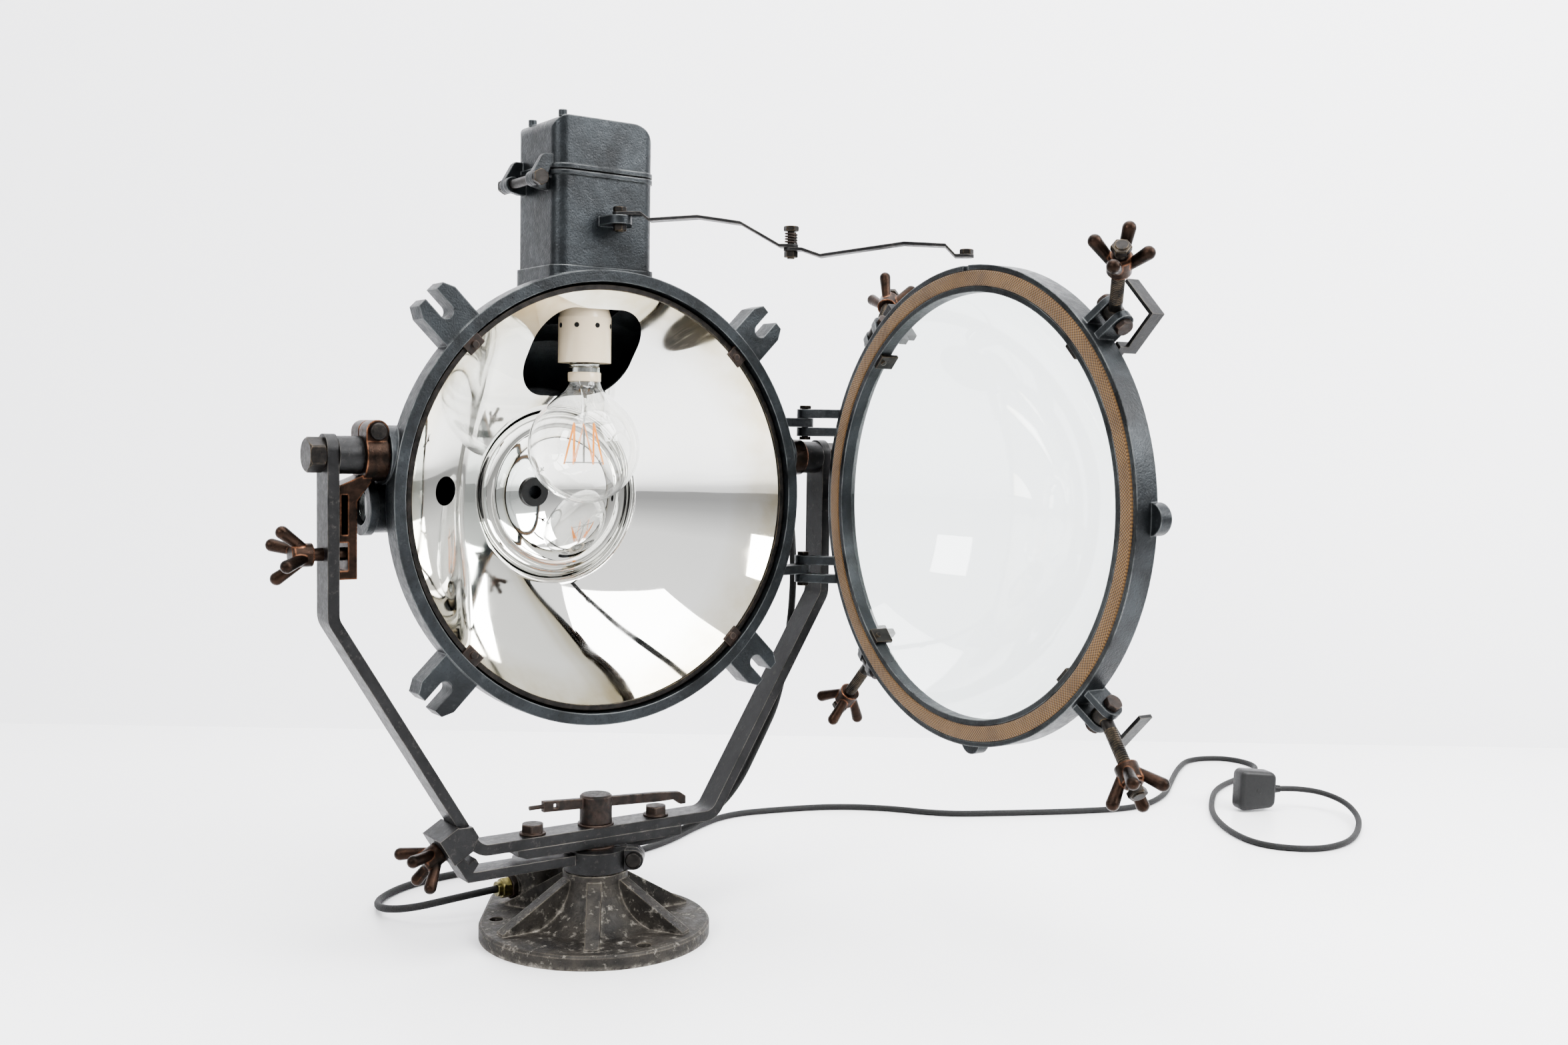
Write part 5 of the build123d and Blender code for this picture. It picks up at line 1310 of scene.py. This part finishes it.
@dataclass
class Stay:
    """The folding stay: two flat links, their bolts and the coil spring on the middle one."""

    finishes: Finishes
    foot: tuple[float, float, float] = (108.49, -120.48, 581.15)
    turns: float = 4.0
    coil_r: float = 4.6
    wire_r: float = 0.7
    height: float = 8.6

    def spring(self) -> bpy.types.Object:
        """Grows the coil spring: a spiral with a round section."""
        grow = GrowTree("stay_coil", {"turns": self.turns, "coil_r": self.coil_r * MM,
                                      "wire_r": self.wire_r * MM, "height": self.height * MM})
        size = grow.size
        line = grow.node("GeometryNodeCurveSpiral", {"Resolution": 40},
                         {"Rotations": size["turns"], "Start Radius": size["coil_r"],
                          "End Radius": size["coil_r"], "Height": size["height"]})
        section = grow.node("GeometryNodeCurvePrimitiveCircle", {"Resolution": 12},
                            {"Radius": size["wire_r"]})
        wire = grow.node("GeometryNodeCurveToMesh", {"Fill Caps": True},
                         {"Curve": line, "Profile Curve": section})
        put = grow.node("GeometryNodeTransform", {"Translation": tuple(c * MM for c in self.foot)},
                        {"Geometry": wire})
        made = grow.grow("stay_coil", put, self.finishes.rust)
        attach(made, "stay_near")
        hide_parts("stay_spring")
        return made

    def build(self) -> list[bpy.types.Object]:
        """Builds the spring."""
        return [self.spring()]

    def dress(self, nodes: dict[str, bpy.types.Object]) -> None:
        """Gives the links and bolts their finishes."""
        wear(nodes, {self.finishes.bar: ("stay_link_box", "stay_link_door"),
                     self.finishes.black: ("stay_bolt_middle", "stay_bolt_door")})


@dataclass
class Studio:
    """The pale floor and wall, the soft lights, the display settings and the camera, in metres."""

    camera_place: tuple[float, float, float] = (-0.61475, -1.1334, 0.42696)
    camera_turn: tuple[float, float, float] = (35.43, -3.32, 0.91)
    lens_mm: float = 35.0
    wall_away: float = 2.14
    wall_high: float = 4.0
    floor_near: float = -4.0
    half_width: float = 6.0
    room_strength: float = 1.15
    exposure: float = 0.25

    def floor_finish(self) -> bpy.types.Material:
        """A pale sealed floor: faint clouds of tone and gloss."""
        made = bpy.data.materials.new("pale_sealed_floor")
        made.use_nodes = True
        tree = made.node_tree
        surface = tree.nodes["Principled BSDF"]
        place = add_node(tree, "ShaderNodeTexCoord").outputs["Object"]
        cloud = add_node(tree, "ShaderNodeTexNoise", {"Scale": 3.0, "Detail": 8.0},
                         {"Vector": place}).outputs[0]
        tones = {"data_type": "RGBA", TINT_A: colour("#ebebec"), TINT_B: colour("#f2f2f3")}
        base = add_node(tree, "ShaderNodeMix", tones, {0: cloud}).outputs[2]
        rough = add_node(tree, "ShaderNodeMapRange", {1: 0.3, 2: 0.7, 3: 0.28, 4: 0.42},
                         {0: cloud}).outputs[0]
        tree.links.new(base, surface.inputs["Base Color"])
        tree.links.new(rough, surface.inputs["Roughness"])
        return made

    def wall_finish(self) -> bpy.types.Material:
        """A plain white wall."""
        made = bpy.data.materials.new("white_wall")
        made.use_nodes = True
        surface = made.node_tree.nodes["Principled BSDF"]
        surface.inputs["Base Color"].default_value = colour("#f4f4f6")
        surface.inputs["Roughness"].default_value = 0.9
        return made

    def surfaces(self) -> None:
        """Makes the floor and the wall, which aren't part of the object."""
        turn = Matrix.Rotation(math.radians(-self.camera_turn[0]), 3, "Z")
        below = Vector((self.camera_place[0], self.camera_place[1], 0))
        w, far, near, high = self.half_width, self.wall_away, self.floor_near, self.wall_high
        corners = [(-w, near, 0), (w, near, 0), (w, far, 0), (-w, far, 0)]
        upright = [(-w, far, 0), (w, far, 0), (w, far, high), (-w, far, high)]
        for name, outline, finish in (("floor", corners, self.floor_finish()),
                                      ("wall", upright, self.wall_finish())):
            sheet = bmesh.new()
            sheet.faces.new([sheet.verts.new(turn @ Vector(c) + below) for c in outline])
            data = bpy.data.meshes.new(name)
            sheet.to_mesh(data)
            sheet.free()
            data.materials.append(finish)
            linked(name, data)

    def lights(self) -> None:
        """Hangs the soft lights."""
        for name, place, aim, size, power in (
                ("soft_right", (1.3, -2.0, 1.7), (0.1, 0.0, 0.35), 1.5, 75.0),
                ("soft_top", (0.1, -0.3, 2.6), (0.1, 0.2, 0.2), 2.2, 85.0),
                ("soft_left", (-2.4, -0.7, 1.5), (0.0, 0.0, 0.4), 0.9, 34.0)):
            light = bpy.data.lights.new(name, "AREA")
            light.size = size
            light.energy = power
            made = linked(name, light)
            made.location = place
            made.rotation_mode = "QUATERNION"
            made.rotation_quaternion = (Vector(aim) - Vector(place)).to_track_quat("-Z", "Y")

    def room(self) -> None:
        """Makes the room's own light, which pales from the floor up, and the display settings."""
        world = bpy.data.worlds.new("room")
        world.use_nodes = True
        tree = world.node_tree
        ground = tree.nodes["Background"]
        way = add_node(tree, "ShaderNodeTexCoord").outputs["Generated"]
        rise = add_node(tree, "ShaderNodeSeparateXYZ", links={0: way}).outputs[2]
        shade = add_node(tree, "ShaderNodeValToRGB", {"stops": [
            (0.0, (0.32, 0.32, 0.325, 1)), (1.0, (0.95, 0.95, 0.95, 1)),
            (0.1, (0.42, 0.42, 0.425, 1)), (0.35, (0.85, 0.85, 0.85, 1))]}, {0: rise}).outputs[0]
        tree.links.new(shade, ground.inputs["Color"])
        ground.inputs["Strength"].default_value = self.room_strength
        scene = bpy.context.scene
        scene.world = world
        scene.view_settings.look = "AgX - Medium High Contrast"
        scene.view_settings.exposure = self.exposure

    def camera(self) -> None:
        """Sets the camera at the photograph's viewing angle."""
        yaw, pitch, roll = (math.radians(a) for a in self.camera_turn)
        data = bpy.data.cameras.new("view")
        data.lens = self.lens_mm
        data.sensor_width = 36.0
        made = linked("view", data)
        turn = (Matrix.Rotation(-yaw, 4, "Z") @ Matrix.Rotation(math.pi / 2 + pitch, 4, "X") @
                Matrix.Rotation(roll, 4, "Z"))
        made.matrix_world = Matrix.Translation(self.camera_place) @ turn
        bpy.context.scene.camera = made

    def build(self) -> None:
        """Builds floor, wall, lights, room and camera."""
        self.surfaces()
        self.lights()
        self.room()
        self.camera()


def main() -> None:
    """Builds and dresses every sub-assembly in order and reports each piece."""
    logging.basicConfig(level=logging.INFO, format="%(name)s: %(message)s")
    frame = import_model()
    nodes = frame["nodes"]
    finishes = Finishes()
    Studio().build()
    Stand(finishes).dress(nodes)
    made = Leads(finishes).build()
    made += Mirror(finishes).build()
    lamp = Lamp(finishes)
    made += lamp.build()
    lamp.dress(nodes)
    for assembly in (Head(finishes), Door(finishes), SwingBolts(finishes), Stay(finishes)):
        made += assembly.build()
        assembly.dress(nodes)
    for piece in made:
        log.info("%s: %d faces", piece.name, len(piece.data.polygons) if piece.type == "MESH" else 0)


if __name__ == "__main__":
    main()
